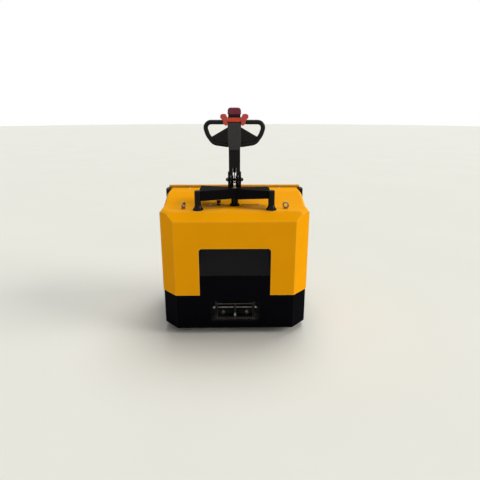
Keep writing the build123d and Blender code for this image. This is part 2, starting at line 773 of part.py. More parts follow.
for side, sign in (("left", -1), ("right", 1)):
    with BuildPart() as castor_fork:
        with BuildSketch(Plane.XY.offset(castor_head_height)):
            with Locations((sign * castor_x, castor_y)):
                Circle(castor_housing_radius + 2)
        extrude(amount=-castor_head_thickness)
        for offset_x in (-castor_leg_offset - castor_leg, castor_leg_offset):
            with BuildSketch(Plane.YZ.offset(sign * castor_x + offset_x)):
                with BuildLine():
                    CenterArc((castor_axle_y, castor_wheel_radius), castor_leg_end, 180, 180)
                    Line(
                        (castor_y - castor_leg_rear, castor_head_height - 1),
                        (castor_y + castor_leg_front, castor_head_height - 1),
                    )
                make_hull()
            extrude(amount=castor_leg)
        with BuildSketch(Plane.YZ.offset(sign * castor_x)):
            with Locations((castor_axle_y, castor_wheel_radius)):
                Circle(castor_axle_radius)
        extrude(amount=castor_leg_offset + castor_leg + 3, both=True)
    castor_fork.part.label = f"castor_fork_{side}"
    export_step(castor_fork.part, f"parts/castor_fork_{side}.step")

    with BuildPart() as castor_wheel:
        with BuildSketch(Plane.YZ.offset(sign * castor_x)):
            with Locations((castor_axle_y, castor_wheel_radius)):
                Circle(castor_wheel_radius)
        extrude(amount=castor_wheel_width / 2, both=True)
        with BuildSketch(Plane.YZ.offset(sign * castor_x)):
            with Locations((castor_axle_y, castor_wheel_radius)):
                Circle(castor_boss)
        extrude(amount=castor_leg_offset - boss_gap, both=True)
        with BuildSketch(Plane.YZ.offset(sign * castor_x)):
            with Locations((castor_axle_y, castor_wheel_radius)):
                Circle(castor_axle_radius + running_gap)
        extrude(amount=castor_wheel_width, both=True, mode=Mode.SUBTRACT)
    castor_wheel.part.label = f"castor_wheel_{side}"
    export_step(castor_wheel.part, f"parts/castor_wheel_{side}.step")

# Steering bearing on the chassis plate
bearing_gap = 0.5
with BuildPart() as steering_bearing:
    with BuildSketch(Plane.XY.offset(plate_top + fit_gap)):
        with Locations((0, steer_y)):
            Circle(bearing_outer)
            Circle(turntable_radius + bearing_gap, mode=Mode.SUBTRACT)
    extrude(amount=turntable_top - plate_top - fit_gap)
steering_bearing.part.label = "steering_bearing"
export_step(steering_bearing.part, "parts/steering_bearing.step")

# Gearbox: turntable, neck beside the wheel and gear case round the axle
gearbox_inner = drive_wheel_width / 2 + 7.5
drive_shaft_radius = 20.0
turntable_flange = 13.0
turntable_hang = 8.0       # of the turntable below the chassis plate, and of its flange
gearbox_neck = 55.0
shaft_depth = 20.0         # of the shaft's seat in the gear case
with BuildPart() as drive_gearbox:
    with BuildSketch(Plane.XY.offset(plate_bottom - turntable_hang)):
        with Locations((0, steer_y)):
            Circle(turntable_radius)
    extrude(amount=turntable_top - plate_bottom + turntable_hang + bearing_gap)
    with BuildSketch(Plane.XY.offset(turntable_top + bearing_gap)):
        with Locations((0, steer_y)):
            Circle(turntable_radius + turntable_flange)
    extrude(amount=turntable_hang)
    with BuildSketch(Plane.YZ.offset(-gearbox_inner)):
        with BuildLine():
            CenterArc((steer_y, drive_wheel_radius), gearbox_radius, 180, 180)
            Line(
                (steer_y - gearbox_neck, plate_bottom - turntable_hang),
                (steer_y + gearbox_neck, plate_bottom - turntable_hang),
            )
        make_hull()
    extrude(amount=-gearbox_width)
    with BuildSketch(Plane.YZ.offset(-gearbox_inner)):
        with Locations((steer_y, drive_wheel_radius)):
            Circle(drive_shaft_radius + bearing_gap)
    extrude(amount=-shaft_depth, mode=Mode.SUBTRACT)
drive_gearbox.part.label = "drive_gearbox"
export_step(drive_gearbox.part, "parts/drive_gearbox.step")

motor_bottom = turntable_top + bearing_gap + turntable_hang + fit_gap
with BuildPart() as drive_motor:
    with BuildSketch(Plane.XY.offset(motor_bottom)):
        with Locations((0, steer_y)):
            Circle(motor_radius)
    extrude(amount=motor_top - motor_bottom)
drive_motor.part.label = "drive_motor"
export_step(drive_motor.part, "parts/drive_motor.step")

yoke_base_bottom = top_height + swing_gap
with BuildPart() as steering_column:
    with BuildSketch(Plane.XY.offset(motor_top + fit_gap)):
        with Locations((0, steer_y)):
            Circle(column_radius)
    extrude(amount=yoke_base_bottom - motor_top - 2 * fit_gap)
steering_column.part.label = "steering_column"
export_step(steering_column.part, "parts/steering_column.step")

# Drive wheel
drive_rim = drive_wheel_radius - drive_tread
drive_hub_step = 5.0
drive_hub_rim = 12.0
drive_hub_boss = 30.0
drive_hub_dish = 30.0
with BuildPart() as drive_tyre:
    with BuildSketch(Plane.YZ):
        with Locations((steer_y, drive_wheel_radius)):
            Circle(drive_wheel_radius)
            Circle(drive_rim, mode=Mode.SUBTRACT)
    extrude(amount=drive_wheel_width / 2, both=True)
    chamfer(drive_tyre.edges().filter_by(GeomType.CIRCLE).sort_by(lambda edge: edge.radius)[-2:], 4)
drive_tyre.part.label = "drive_tyre"
export_step(drive_tyre.part, "parts/drive_tyre.step")

with BuildPart() as drive_hub:
    with BuildSketch(Plane.YZ):
        with Locations((steer_y, drive_wheel_radius)):
            Circle(drive_rim - running_gap)
    extrude(amount=drive_wheel_width / 2 - drive_hub_step, both=True)
    with BuildSketch(Plane.YZ.offset(drive_wheel_width / 2 - drive_hub_step)):
        with Locations((steer_y, drive_wheel_radius)):
            Circle(drive_rim - drive_hub_rim)
            Circle(drive_hub_boss, mode=Mode.SUBTRACT)
    extrude(amount=-drive_hub_dish, mode=Mode.SUBTRACT)
    with BuildSketch(Plane.YZ.offset(-gearbox_inner - shaft_depth + 2)):
        with Locations((steer_y, drive_wheel_radius)):
            Circle(drive_shaft_radius)
    extrude(amount=gearbox_inner + shaft_depth - 2)
drive_hub.part.label = "drive_hub"
export_step(drive_hub.part, "parts/drive_hub.step")

# Yoke of the tiller on the steering column: ears, pivot pin, and a slotted block for the spring's eye
spring_lower_y = steer_y + spring_lower_offset
spring_lower_z = tiller_pivot_height - spring_lower_drop
ear_inside = arm_width / 2 + yoke_ear_gap
ear_outside = ear_inside + yoke_ear
clevis_inside = spring_eye_width / 2 + clevis_gap
clevis_outside = arm_width / 2 - arm_wall - swing_gap
clevis_radius = 9.0
yoke_bed_top = tiller_pivot_height - arm_depth / 2 - swing_gap
with BuildPart() as tiller_yoke:
    with BuildSketch(Plane.XY.offset(yoke_base_bottom)):
        with Locations((0, steer_y)):
            Circle(yoke_base_radius)
    extrude(amount=yoke_base_thickness)
    for sign in (-1, 1):
        with BuildSketch(Plane.YZ.offset(sign * ear_inside)):
            with BuildLine():
                CenterArc((steer_y, tiller_pivot_height + yoke_ear_rise), yoke_ear_radius, 0, 180)
                Line(
                    (steer_y - yoke_foot, yoke_base_bottom + 1),
                    (steer_y + yoke_foot, yoke_base_bottom + 1),
                )
            make_hull()
        extrude(amount=sign * yoke_ear)
        with BuildSketch(Plane.YZ.offset(sign * clevis_inside)):
            with BuildLine():
                CenterArc((steer_y, tiller_pivot_height), yoke_drum_radius, 0, 180)
                CenterArc((spring_lower_y, spring_lower_z), clevis_radius, -90, 180)
                Line(
                    (steer_y - yoke_block_foot, yoke_base_bottom + 1),
                    (steer_y + yoke_block_foot, yoke_base_bottom + 1),
                )
            make_hull()
        extrude(amount=sign * (clevis_outside - clevis_inside))
        with BuildSketch(Plane.YZ.offset(sign * clevis_inside)):
            with Locations((steer_y, (yoke_base_bottom + yoke_bed_top) / 2)):
                Rectangle(2 * yoke_foot, yoke_bed_top - yoke_base_bottom)
        extrude(amount=sign * (ear_inside - clevis_inside))
        with BuildSketch(Plane.YZ.offset(sign * ear_outside)):
            with Locations((steer_y, tiller_pivot_height)):
                RegularPolygon(tiller_pin_head, 6)
        extrude(amount=sign * tiller_pin_head_length)
    with BuildSketch(Plane.YZ):
        with Locations((steer_y, tiller_pivot_height)):
            Circle(tiller_pin_radius)
    extrude(amount=ear_outside, both=True)
    with BuildSketch(Plane.YZ):
        with Locations((spring_lower_y, spring_lower_z)):
            Circle(spring_pin_radius)
    extrude(amount=clevis_outside, both=True)
tiller_yoke.part.label = "tiller_yoke"
export_step(tiller_yoke.part, "parts/tiller_yoke.step")

# Tiller arm: channel that is open at the rear, with cheeks on the pivot pin
arm_inside = arm_width / 2 - arm_wall
arm_front = steer_y - arm_depth / 2
with BuildPart() as tiller_arm:
    with BuildSketch(Plane.YZ):
        with BuildLine():
            CenterArc((steer_y, tiller_pivot_height), arm_depth / 2, 180, 180)
            Line((arm_front, head_bottom), (arm_front + arm_depth, head_bottom))
        make_hull()
    extrude(amount=arm_width / 2, both=True)
    with BuildSketch(Plane.XZ.offset(-(arm_front + arm_wall))):
        with Locations((0, (tiller_pivot_height - arm_depth + head_bottom - arm_wall) / 2)):
            Rectangle(2 * arm_inside, head_bottom - arm_wall - tiller_pivot_height + arm_depth)
    extrude(amount=-arm_depth, mode=Mode.SUBTRACT)
    with BuildSketch(Plane.XZ.offset(-arm_front)):
        with Locations((0, arm_front_end - arm_depth)):
            Rectangle(2 * arm_inside, 2 * arm_depth)
        with Locations((0, (arm_front_end + arm_slot_top) / 2)):
            Rectangle(arm_slot_width, arm_slot_top - arm_front_end)
    extrude(amount=-arm_wall, mode=Mode.SUBTRACT)
    with BuildSketch(Plane.YZ):
        with Locations((steer_y, tiller_pivot_height)):
            Circle(tiller_pin_radius + running_gap)
    extrude(amount=arm_width, both=True, mode=Mode.SUBTRACT)
    with BuildSketch(Plane.YZ):
        with Locations((steer_y, spring_upper_height)):
            Circle(spring_pin_radius)
    extrude(amount=arm_width / 2, both=True)
tiller_arm.part.label = "tiller_arm"
export_step(tiller_arm.part, "parts/tiller_arm.step")

# Gas spring: cylinder on the arm's pin, rod towards the clevis
spring_line = Vector(0, spring_lower_y - steer_y, spring_lower_z - spring_upper_height)
spring_length = spring_line.length
spring_plane = Plane(
    (0, steer_y, spring_upper_height), x_dir=(1, 0, 0), z_dir=(0, spring_line.Y, spring_line.Z)
)
spring_body_length = 131.0
spring_eye_bore = spring_pin_radius + running_gap
rod_eye_bore = spring_pin_radius + spring_eye_play
rod_eye_wall = 3.0
rod_eye_radius = rod_eye_bore + rod_eye_wall
with BuildPart() as gas_spring_cylinder:
    with BuildSketch(spring_plane.offset(spring_eye_radius - 1)):
        Circle(spring_radius)
        Circle(spring_rod_radius + bearing_gap, mode=Mode.SUBTRACT)
    extrude(amount=spring_body_length - spring_eye_radius + 1)
    with BuildSketch(Plane.YZ):
        with Locations((steer_y, spring_upper_height)):
            Circle(spring_eye_radius)
            Circle(spring_eye_bore, mode=Mode.SUBTRACT)
    extrude(amount=spring_eye_width / 2, both=True)
gas_spring_cylinder.part.label = "gas_spring_cylinder"
export_step(gas_spring_cylinder.part, "parts/gas_spring_cylinder.step")

spring_rod_start = 62.0
with BuildPart() as gas_spring_rod:
    with BuildSketch(spring_plane.offset(spring_rod_start)):
        Circle(spring_rod_radius)
    extrude(amount=spring_length - spring_rod_start - rod_eye_bore - 1)
    with BuildSketch(Plane.YZ):
        with Locations((spring_lower_y, spring_lower_z)):
            Circle(rod_eye_radius)
            Circle(rod_eye_bore, mode=Mode.SUBTRACT)
    extrude(amount=spring_eye_width / 2, both=True)
gas_spring_rod.part.label = "gas_spring_rod"
export_step(gas_spring_rod.part, "parts/gas_spring_rod.step")

# Head of the tiller: straight at the front, bulged at the rear, tapered to the arm
head_front = steer_y - head_depth / 2
head_foot = head_bottom + fit_gap
head_waist = arm_width + 3.0
# Half of the front outline: half width, height above the lower end
head_outline = [
    (arm_width / 2, 0.0),
    (head_waist / 2, 0.4 * head_taper),
    (head_width / 2, head_taper),
]
with BuildPart() as tiller_head:
    with BuildSketch(Plane.YZ):
        with BuildLine():
            Line((steer_y + arm_depth / 2, head_foot), (head_front, head_foot))
            Line((head_front, head_foot), (head_front, head_top))
            Line((head_front, head_top), (steer_y + head_depth / 2 - head_bulge, head_top))
            ThreePointArc(
                (steer_y + head_depth / 2 - head_bulge, head_top),
                (steer_y + head_depth / 2 + head_bulge, (head_foot + head_top) / 2),
                (steer_y + arm_depth / 2, head_foot),
            )
        make_face()
    extrude(amount=head_width / 2, both=True)
    with BuildSketch(Plane.XZ.offset(-head_front)):
        with BuildLine():
            Polyline(
                *[(-x, head_foot + z) for x, z in head_outline],
                (-head_width / 2, head_top), (head_width / 2, head_top),
                *[(x, head_foot + z) for x, z in reversed(head_outline)],
                close=True,
            )
        make_face()
    extrude(amount=-2 * head_depth, both=True, mode=Mode.INTERSECT)
    upright_edges = tiller_head.edges().filter_by(
        lambda edge: abs(edge.tangent_at(0.5).X) < 0.5 and abs(edge.tangent_at(0.5).Y) < 0.5
    )
    chamfer(upright_edges, 5)
tiller_head.part.label = "tiller_head"
export_step(tiller_head.part, "parts/tiller_head.step")

# Lid on the head's front, with the same outline
lid_rise = 4.0
lid_height = 174.0
lid_top = head_bottom + lid_rise + lid_height
lid_thickness = 5.0
with BuildPart() as head_lid:
    with BuildSketch(Plane.XZ.offset(-(head_front - fit_gap))):
        with BuildLine():
            Polyline(
                *[(-x, head_foot + lid_rise + z) for x, z in head_outline],
                (-head_width / 2, lid_top), (head_width / 2, lid_top),
                *[(x, head_foot + lid_rise + z) for x, z in reversed(head_outline)],
                close=True,
            )
        make_face()
    extrude(amount=lid_thickness)
    chamfer(head_lid.faces().sort_by(Axis.Y)[0].edges(), 1.5)
head_lid.part.label = "head_lid"
export_step(head_lid.part, "parts/head_lid.step")

horn_height = 26.0
horn_drop = 3.5           # below the head's top
horn_thickness = 8.0
with BuildPart() as horn_bar:
    with BuildSketch(Plane.XZ.offset(-(head_front - fit_gap))):
        with Locations((0, head_top - horn_drop - horn_height / 2)):
            RectangleRounded(head_width, horn_height, 7)
    extrude(amount=horn_thickness)
    chamfer(horn_bar.faces().sort_by(Axis.Y)[0].edges(), 2)
horn_bar.part.label = "horn_bar"
export_step(horn_bar.part, "parts/horn_bar.step")

# Neck and belly button at the end of the head
neck_height = 16.0
neck_inset = 4.0
button_height = 43.0
button_corner = 20.0
button_edge = 5.0
with BuildPart() as head_neck:
    with Locations((0, steer_y, head_top + fit_gap + neck_height / 2)):
        Box(head_width - 2 * neck_inset, head_depth - 4 * neck_inset, neck_height)
head_neck.part.label = "head_neck"
export_step(head_neck.part, "parts/head_neck.step")

button_bottom = head_top + 2 * fit_gap + neck_height
with BuildPart() as belly_button:
    with BuildSketch(Plane.XZ.offset(-(head_front + neck_inset))) as button_front:
        with Locations((0, button_bottom)):
            Trapezoid(head_width + 1, button_height, 87, align=(Align.CENTER, Align.MIN))
        fillet(button_front.vertices().group_by(Axis.Y)[-1], button_corner)
    extrude(amount=-(head_depth - 2 * neck_inset))
    for outer_face in (belly_button.faces().sort_by(Axis.Y)[0], belly_button.faces().sort_by(Axis.Y)[-1]):
        rounded = outer_face.edges().filter_by(lambda edge: edge.center().Z > button_bottom + 1)
        chamfer(rounded, button_edge)
belly_button.part.label = "belly_button"
export_step(belly_button.part, "parts/belly_button.step")

# Thumb paddles on both sides of the head
paddle_depth = 16.0
paddle_middle = head_top - 16.0
# Outline of a paddle: distance from the head's side, height from the paddle's middle, corner radius
paddle_outline = [
    (fit_gap, -33.0, 3.0), (11.0, -39.0, 6.0), (27.0, -27.0, 8.0), (32.0, -3.0, 6.0), (47.0, 12.0, 6.0),
    (46.0, 30.0, 8.0), (31.0, 37.0, 8.0), (11.0, 35.0, 8.0), (fit_gap, 14.0, 3.0),
]
with BuildPart() as thumb_paddles:
    for sign in (-1, 1):
        with BuildSketch(Plane.XZ.offset(-(head_front + 4))):
            with BuildLine():
                FilletPolyline(
                    *[(sign * (head_width / 2 + x), paddle_middle + z) for x, z, r in paddle_outline],
                    radius=[r for x, z, r in paddle_outline],
                    close=True,
                )
            make_face()
        extrude(amount=paddle_depth)
thumb_paddles.part.label = "thumb_paddles"
export_step(thumb_paddles.part, "parts/thumb_paddles.step")

# Loop handle: one bent tube each side, with a plate between tube and head
tube_r = handle_tube / 2
handle_y = steer_y + 4
handle_root = head_width / 2 + fit_gap
handle_low = 163.0        # drop of the tube's lower end at the head
web_start = 48.0          # drop of the web plate's upper corner at the head
# Bends of the tube's centre line: inset from the half width, drop below the top, bend radius
handle_bends = [(4.0, tube_r, 36.0), (29.0, 96.0, 100.0), (67.0, 149.0, 50.0)]
# Outer corners of the web plate: inset from the half width, drop below the top
web_corners = [(52.0, 110.0), (50.0, 128.0), (68.0, 149.0)]
with BuildPart() as handle_loop:
    for sign in (-1, 1):
        with BuildLine(Plane.XZ.offset(-handle_y)):
            loop_path = FilletPolyline(
                (sign * handle_root, handle_top - tube_r),
                *[(sign * (handle_half_width - x), handle_top - drop) for x, drop, bend in handle_bends],
                (sign * handle_root, handle_top - handle_low),
                radius=[bend for x, drop, bend in handle_bends],
            )
        with BuildSketch(Plane(loop_path @ 0, z_dir=loop_path % 0)):
            Circle(tube_r)
        sweep(path=loop_path)
        with BuildSketch(Plane.XZ.offset(-handle_y)):
            with BuildLine():
                Polyline(
                    (sign * handle_root, handle_top - web_start),
                    *[(sign * (handle_half_width - x), handle_top - drop) for x, drop in web_corners],
                    (sign * handle_root, handle_top - handle_low),
                    close=True,
                )
            make_face()
        extrude(amount=handle_plate / 2, both=True)
    with Locations((0, handle_y, handle_top)):
        Box(2 * handle_root, 2 * head_depth, head_top, mode=Mode.SUBTRACT)
handle_loop.part.label = "handle_loop"
export_step(handle_loop.part, "parts/handle_loop.step")
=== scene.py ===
# %% [markdown]
# # Dressing an electric tow tractor
# The machine comes from CAD as fifty bare solids that already stand in the right place. This lesson gives
# them their finishes, models the small fittings that the solids leave out, and lights the result like a
# product photograph. Every length is in metres, with +Z up and the towing end facing -Y.

# %% Load the frame
import bpy
import json
from math import cos, pi, radians, sin
from mathutils import Matrix, Vector


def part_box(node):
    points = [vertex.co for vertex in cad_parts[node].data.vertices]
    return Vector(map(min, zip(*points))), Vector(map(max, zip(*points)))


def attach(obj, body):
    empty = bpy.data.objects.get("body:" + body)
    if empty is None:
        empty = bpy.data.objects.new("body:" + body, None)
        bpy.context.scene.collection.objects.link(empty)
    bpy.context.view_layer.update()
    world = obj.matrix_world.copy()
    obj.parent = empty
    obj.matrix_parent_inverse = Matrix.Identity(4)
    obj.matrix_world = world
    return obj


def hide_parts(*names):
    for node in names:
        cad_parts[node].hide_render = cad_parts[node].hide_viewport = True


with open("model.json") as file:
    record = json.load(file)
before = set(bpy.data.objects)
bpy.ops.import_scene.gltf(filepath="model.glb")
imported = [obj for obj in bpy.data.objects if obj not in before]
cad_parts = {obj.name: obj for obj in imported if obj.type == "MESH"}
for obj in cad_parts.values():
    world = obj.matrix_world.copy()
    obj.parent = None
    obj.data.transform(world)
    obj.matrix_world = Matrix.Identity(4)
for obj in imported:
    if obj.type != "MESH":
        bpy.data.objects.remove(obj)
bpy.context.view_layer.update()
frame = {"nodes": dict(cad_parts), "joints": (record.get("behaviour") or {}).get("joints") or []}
mm = 0.001
print("solids loaded:", len(frame["nodes"]))

# %% [markdown]
# ## Corners and axes
# A fitting sits on what carries it, so its place is worked out from the solids and not typed a second time.
# Three tables keep what the frame knows, in millimetres: the lowest and the highest corner of each solid's
# box, and a point on the axis of each joint.

# %% Tables of corners and axes, in mm
lowest = {name: [round(v / mm, 1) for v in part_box(name)[0]] for name in frame["nodes"]}
highest = {name: [round(v / mm, 1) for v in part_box(name)[1]] for name in frame["nodes"]}
axis = {joint["name"]: [round(v / mm, 1) for v in joint["pos_m"]] for joint in frame["joints"]
        if "pos_m" in joint}
print("axes:", ", ".join(axis))

# %% [markdown]
# ## Camera
# The photograph was taken standing behind the towing end, a little above the handle, with a wide lens tipped
# down at the machine. Its lens axis lies above the middle of the square picture, so the lens is shifted, and
# the machine sits a few pixels left of that axis, so the camera is turned slightly to the right.

# %% Place the camera
picture_width = 480.0
focal_pixels = 379.5
axis_pixel = (240.0, 213.5)
camera_place = Vector((0.0, -2.435, 1.35))
pitch_down, turn_right = radians(15.1), radians(0.83)

bpy.ops.object.camera_add(location=camera_place, rotation=(pi / 2 - pitch_down, 0.0, -turn_right))
camera = bpy.context.object
camera.data.sensor_width = 36.0
camera.data.lens = focal_pixels / picture_width * camera.data.sensor_width
camera.data.shift_y = (axis_pixel[1] - picture_width / 2) / picture_width
camera.data.clip_end = 200.0
bpy.context.scene.camera = camera
print("lens", round(camera.data.lens, 2), "mm, shift", round(camera.data.shift_y, 4))

# %% [markdown]
# ## Colours and nodes
# Paint cards and screens give colours as sRGB, and shaders calculate in linear light. One function turns the
# first into the second. A second small function adds a node with its settings and links, and every material
# below is built with it.

# %% Two helpers for materials
def linear(hex_colour):
    """Turn a colour such as "#F2A200" into linear light."""
    channels = [int(hex_colour[i:i + 2], 16) / 255 for i in (1, 3, 5)]
    return [c / 12.92 if c < 0.04045 else ((c + 0.055) / 1.055) ** 2.4 for c in channels] + [1.0]


def node(tree, kind, sockets=None, **settings):
    """Add a node. A socket takes a value, or another node's output, which is then linked to it.

    A colour Mix has its two colours on sockets 6 and 7, and the mixed colour on output 2.
    """
    made = tree.nodes.new(kind)
    for name, value in settings.items():
        setattr(made, name, value)
    for name, value in (sockets or {}).items():
        if isinstance(value, bpy.types.NodeSocket):
            tree.links.new(value, made.inputs[name])
        else:
            made.inputs[name].default_value = value
    return made


# %% [markdown]
# ## Floor, light and background
# A studio product picture has a pale floor that keeps the contact shadow, one large soft lamp for shape and
# an even surround that fills the shadows. In the photograph the deck and the right corner are bright, the
# near face is darker and the left edges are brown, so the two strong lamps stand above and to the right. Sun
# lamps with a wide angle do that evenly over the whole floor, where a near lamp would leave the distance
# grey. The background is white to the camera and to reflections only, so that it puts no more light on the
# paint.

# %% Make the studio
def studio_surface(name, hex_colour, roughness):
    """A matt floor covering with a faint cloud in its colour, as poured resin has."""
    material = bpy.data.materials.new(name)
    material.use_nodes = True
    tree = material.node_tree
    tree.nodes.clear()
    place = node(tree, "ShaderNodeTexCoord")
    cloud = node(tree, "ShaderNodeTexNoise", {"Vector": place.outputs["Object"], "Scale": 0.9, "Detail": 4.0})
    tone = node(tree, "ShaderNodeMapRange", {"Value": cloud.outputs["Fac"], "To Min": 0.97, "To Max": 1.03})
    colour = node(tree, "ShaderNodeVectorMath", {0: linear(hex_colour)[:3], 1: tone.outputs["Result"]},
                  operation="MULTIPLY")
    shader = node(tree, "ShaderNodeBsdfPrincipled",
                  {"Base Color": colour.outputs["Vector"], "Roughness": roughness, "Specular IOR Level": 0.2})
    node(tree, "ShaderNodeOutputMaterial", {"Surface": shader.outputs["BSDF"]})
    return material


floor_radius = 40.0
bpy.ops.object.select_all(action="DESELECT")
bpy.ops.mesh.primitive_circle_add(vertices=96, radius=floor_radius, fill_type="NGON")
floor = bpy.context.object
floor.name = "studio_floor"
floor.data.materials.append(studio_surface("poured_resin_floor", "#E4E4E1", 0.7))

world = bpy.data.worlds.new("studio_surround")
bpy.context.scene.world = world
world.use_nodes = True
tree = world.node_tree
tree.nodes.clear()
rays = node(tree, "ShaderNodeLightPath")
seen = node(tree, "ShaderNodeMath",
            {0: rays.outputs["Is Camera Ray"], 1: rays.outputs["Is Transmission Ray"]}, operation="MAXIMUM")
seen = node(tree, "ShaderNodeMath", {0: seen.outputs["Value"], 1: rays.outputs["Is Glossy Ray"]},
            operation="MAXIMUM")
fill = node(tree, "ShaderNodeBackground", {"Color": linear("#F8F6F4"), "Strength": 0.31})
white = node(tree, "ShaderNodeBackground", {"Color": (1.0, 1.0, 1.0, 1.0), "Strength": 1.0})
both = node(tree, "ShaderNodeMixShader", {0: seen.outputs["Value"], 1: fill.outputs["Background"],
                                          2: white.outputs["Background"]})
node(tree, "ShaderNodeOutputWorld", {"Surface": both.outputs["Shader"]})

# A sun lamp lights the same from anywhere, so its distance only keeps it clear of the machine
lamp_distance = 4.0
# name: direction it comes from, strength, spread in degrees, colour
lamps = {
    "top_softbox": ((0.16, 0.36, 0.92), 1.70, 40.0, "#FCFFF8"),
    "right_softbox": ((0.90, -0.14, 0.41), 1.75, 30.0, "#FFFCF2"),
    "front_fill": ((0.10, -0.97, 0.22), 0.18, 60.0, "#FFDDA8"),
}
for name, (direction, strength, spread, colour) in lamps.items():
    bpy.ops.object.light_add(type="SUN", location=lamp_distance * Vector(direction))
    lamp = bpy.context.object
    lamp.name = name
    lamp.data.energy = strength
    lamp.data.angle = radians(spread)
    lamp.data.color = linear(colour)[:3]
    lamp.rotation_euler = Vector(direction).to_track_quat("Z", "Y").to_euler()

bpy.context.scene.view_settings.view_transform = "Standard"
print("lamps:", ", ".join(lamps))

# %% [markdown]
# ## Powder coat and enamel
# The covers are folded steel sheet with a powder coat: a thick, even, slightly glossy film whose surface has
# a fine orange peel. On a working machine it carries faint clouds of handling grease and a little pale dust
# on what faces up. Along the edges a second colour is laid: rubbed metal on the dark coats, and on the yellow
# ones a paler yellow that is a painted highlight of the folds. It could be a plain colour with a picture of
# scratches, but noises on the piece's own coordinates give the same marks from every side. Peel is about 2 mm
# across on the real coat, and is drawn at 5 mm so that it still shows in the picture.

# %% Paint on steel
def coating(name, hex_colour, roughness, shine, peel_mm=5.0, peel_depth=0.06, cloud=0.06, dust=0.10,
            edge_wear_and_highlight_colour="#8A8A88", edge_wear_and_highlight_amount=0.0, edge_wear_and_highlight_mm=1.5, scuffs=0.0):
    """Paint on steel: peel in its surface, clouds in its colour, dust on top, and an edge colour: rubbed
    metal on dark coats, a painted highlight on yellow ones.
    """
    material = bpy.data.materials.new(name)
    material.use_nodes = True
    tree = material.node_tree
    tree.nodes.clear()
    place = node(tree, "ShaderNodeTexCoord").outputs["Object"]
    shape = node(tree, "ShaderNodeNewGeometry")

    clouds = node(tree, "ShaderNodeTexNoise",
                  {"Vector": place, "Scale": 4.0, "Detail": 5.0, "Roughness": 0.6})
    tone = node(tree, "ShaderNodeMapRange",
                {"Value": clouds.outputs["Fac"], "From Min": 0.3, "From Max": 0.7,
                 "To Min": 1.0 - cloud, "To Max": 1.0 + cloud})
    paint = node(tree, "ShaderNodeVectorMath", {0: linear(hex_colour)[:3], 1: tone.outputs["Result"]},
                 operation="MULTIPLY")

    # Dust lies on what faces up, thicker in patches a hand wide
    facing = node(tree, "ShaderNodeSeparateXYZ", {0: shape.outputs["Normal"]})
    upward = node(tree, "ShaderNodeMapRange",
                  {"Value": facing.outputs["Z"], "From Min": 0.5, "From Max": 1.0})
    patches = node(tree, "ShaderNodeTexNoise",
                   {"Vector": place, "Scale": 11.0, "Detail": 8.0, "Roughness": 0.7})
    thick = node(tree, "ShaderNodeMapRange",
                 {"Value": patches.outputs["Fac"], "From Min": 0.42, "From Max": 0.72,
                  "To Min": 0.15 * dust, "To Max": dust})
    dusty = node(tree, "ShaderNodeMath", {0: upward.outputs["Result"], 1: thick.outputs["Result"]},
                 operation="MULTIPLY")
    dusted = node(tree, "ShaderNodeMix", {0: dusty.outputs["Value"], 6: paint.outputs["Vector"],
                                          7: linear("#B9AE9C")}, data_type="RGBA")

    # Edge colour where the rounded normal leaves the flat one, broken up by a fine noise: rubbed metal on the
    # dark coats, a painted highlight along the folds on the yellow ones
    rounded = node(tree, "ShaderNodeBevel", {"Radius": edge_wear_and_highlight_mm * mm}, samples=4)
    alike = node(tree, "ShaderNodeVectorMath",
                 {0: rounded.outputs["Normal"], 1: shape.outputs["True Normal"]}, operation="DOT_PRODUCT")
    edge = node(tree, "ShaderNodeMapRange",
                {"Value": alike.outputs["Value"], "From Min": 0.997, "From Max": 0.96,
                 "To Min": 0.0, "To Max": 1.0})
    chips = node(tree, "ShaderNodeTexNoise",
                 {"Vector": place, "Scale": 90.0, "Detail": 6.0, "Roughness": 0.65})
    broken = node(tree, "ShaderNodeMapRange",
                  {"Value": chips.outputs["Fac"], "From Min": 0.62 - 0.3 * edge_wear_and_highlight_amount,
                   "From Max": 0.72 - 0.3 * edge_wear_and_highlight_amount})
    edge_wear_and_highlight_mask = node(tree, "ShaderNodeMath", {0: edge.outputs["Result"], 1: broken.outputs["Result"]},
                operation="MULTIPLY")
    edge_wear_and_highlight_mask = node(tree, "ShaderNodeMath", {0: edge_wear_and_highlight_mask.outputs["Value"], 1: min(1.0, 2.0 * edge_wear_and_highlight_amount)},
                operation="MULTIPLY")
    coloured = node(tree, "ShaderNodeMix", {0: edge_wear_and_highlight_mask.outputs["Value"], 6: dusted.outputs[2],
                                            7: linear(edge_wear_and_highlight_colour)}, data_type="RGBA")

    # Scuffs are long thin marks, so their noise is stretched along the sheet
    along = node(tree, "ShaderNodeMapping", {"Vector": place, "Scale": (7.0, 7.0, 60.0)})
    streaks = node(tree, "ShaderNodeTexNoise",
                   {"Vector": along.outputs["Vector"], "Scale": 1.6, "Detail": 9.0, "Roughness": 0.75})
    marks = node(tree, "ShaderNodeMapRange",
                 {"Value": streaks.outputs["Fac"], "From Min": 0.60, "From Max": 0.72,
                  "To Min": 0.0, "To Max": scuffs})
    matt = node(tree, "ShaderNodeMath", {0: dusty.outputs["Value"], 1: marks.outputs["Result"]},
                operation="ADD")
    rough = node(tree, "ShaderNodeMapRange",
                 {"Value": matt.outputs["Value"], "To Min": roughness, "To Max": min(1.0, roughness + 0.5)})

    peel = node(tree, "ShaderNodeTexNoise", {"Vector": place, "Scale": 1.0 / (peel_mm * mm), "Detail": 2.0})
    relief = node(tree, "ShaderNodeBump", {"Height": peel.outputs["Fac"], "Strength": peel_depth,
                                           "Distance": 1.0 * mm, "Normal": rounded.outputs["Normal"]})
    shader = node(tree, "ShaderNodeBsdfPrincipled",
                  {"Base Color": coloured.outputs[2], "Roughness": rough.outputs["Result"],
                   "Normal": relief.outputs["Normal"], "IOR": 1.5, "Specular IOR Level": 0.0,
                   "Coat Weight": shine, "Coat Roughness": 0.22, "Coat Normal": relief.outputs["Normal"]})
    node(tree, "ShaderNodeOutputMaterial", {"Surface": shader.outputs["BSDF"]})
    return material
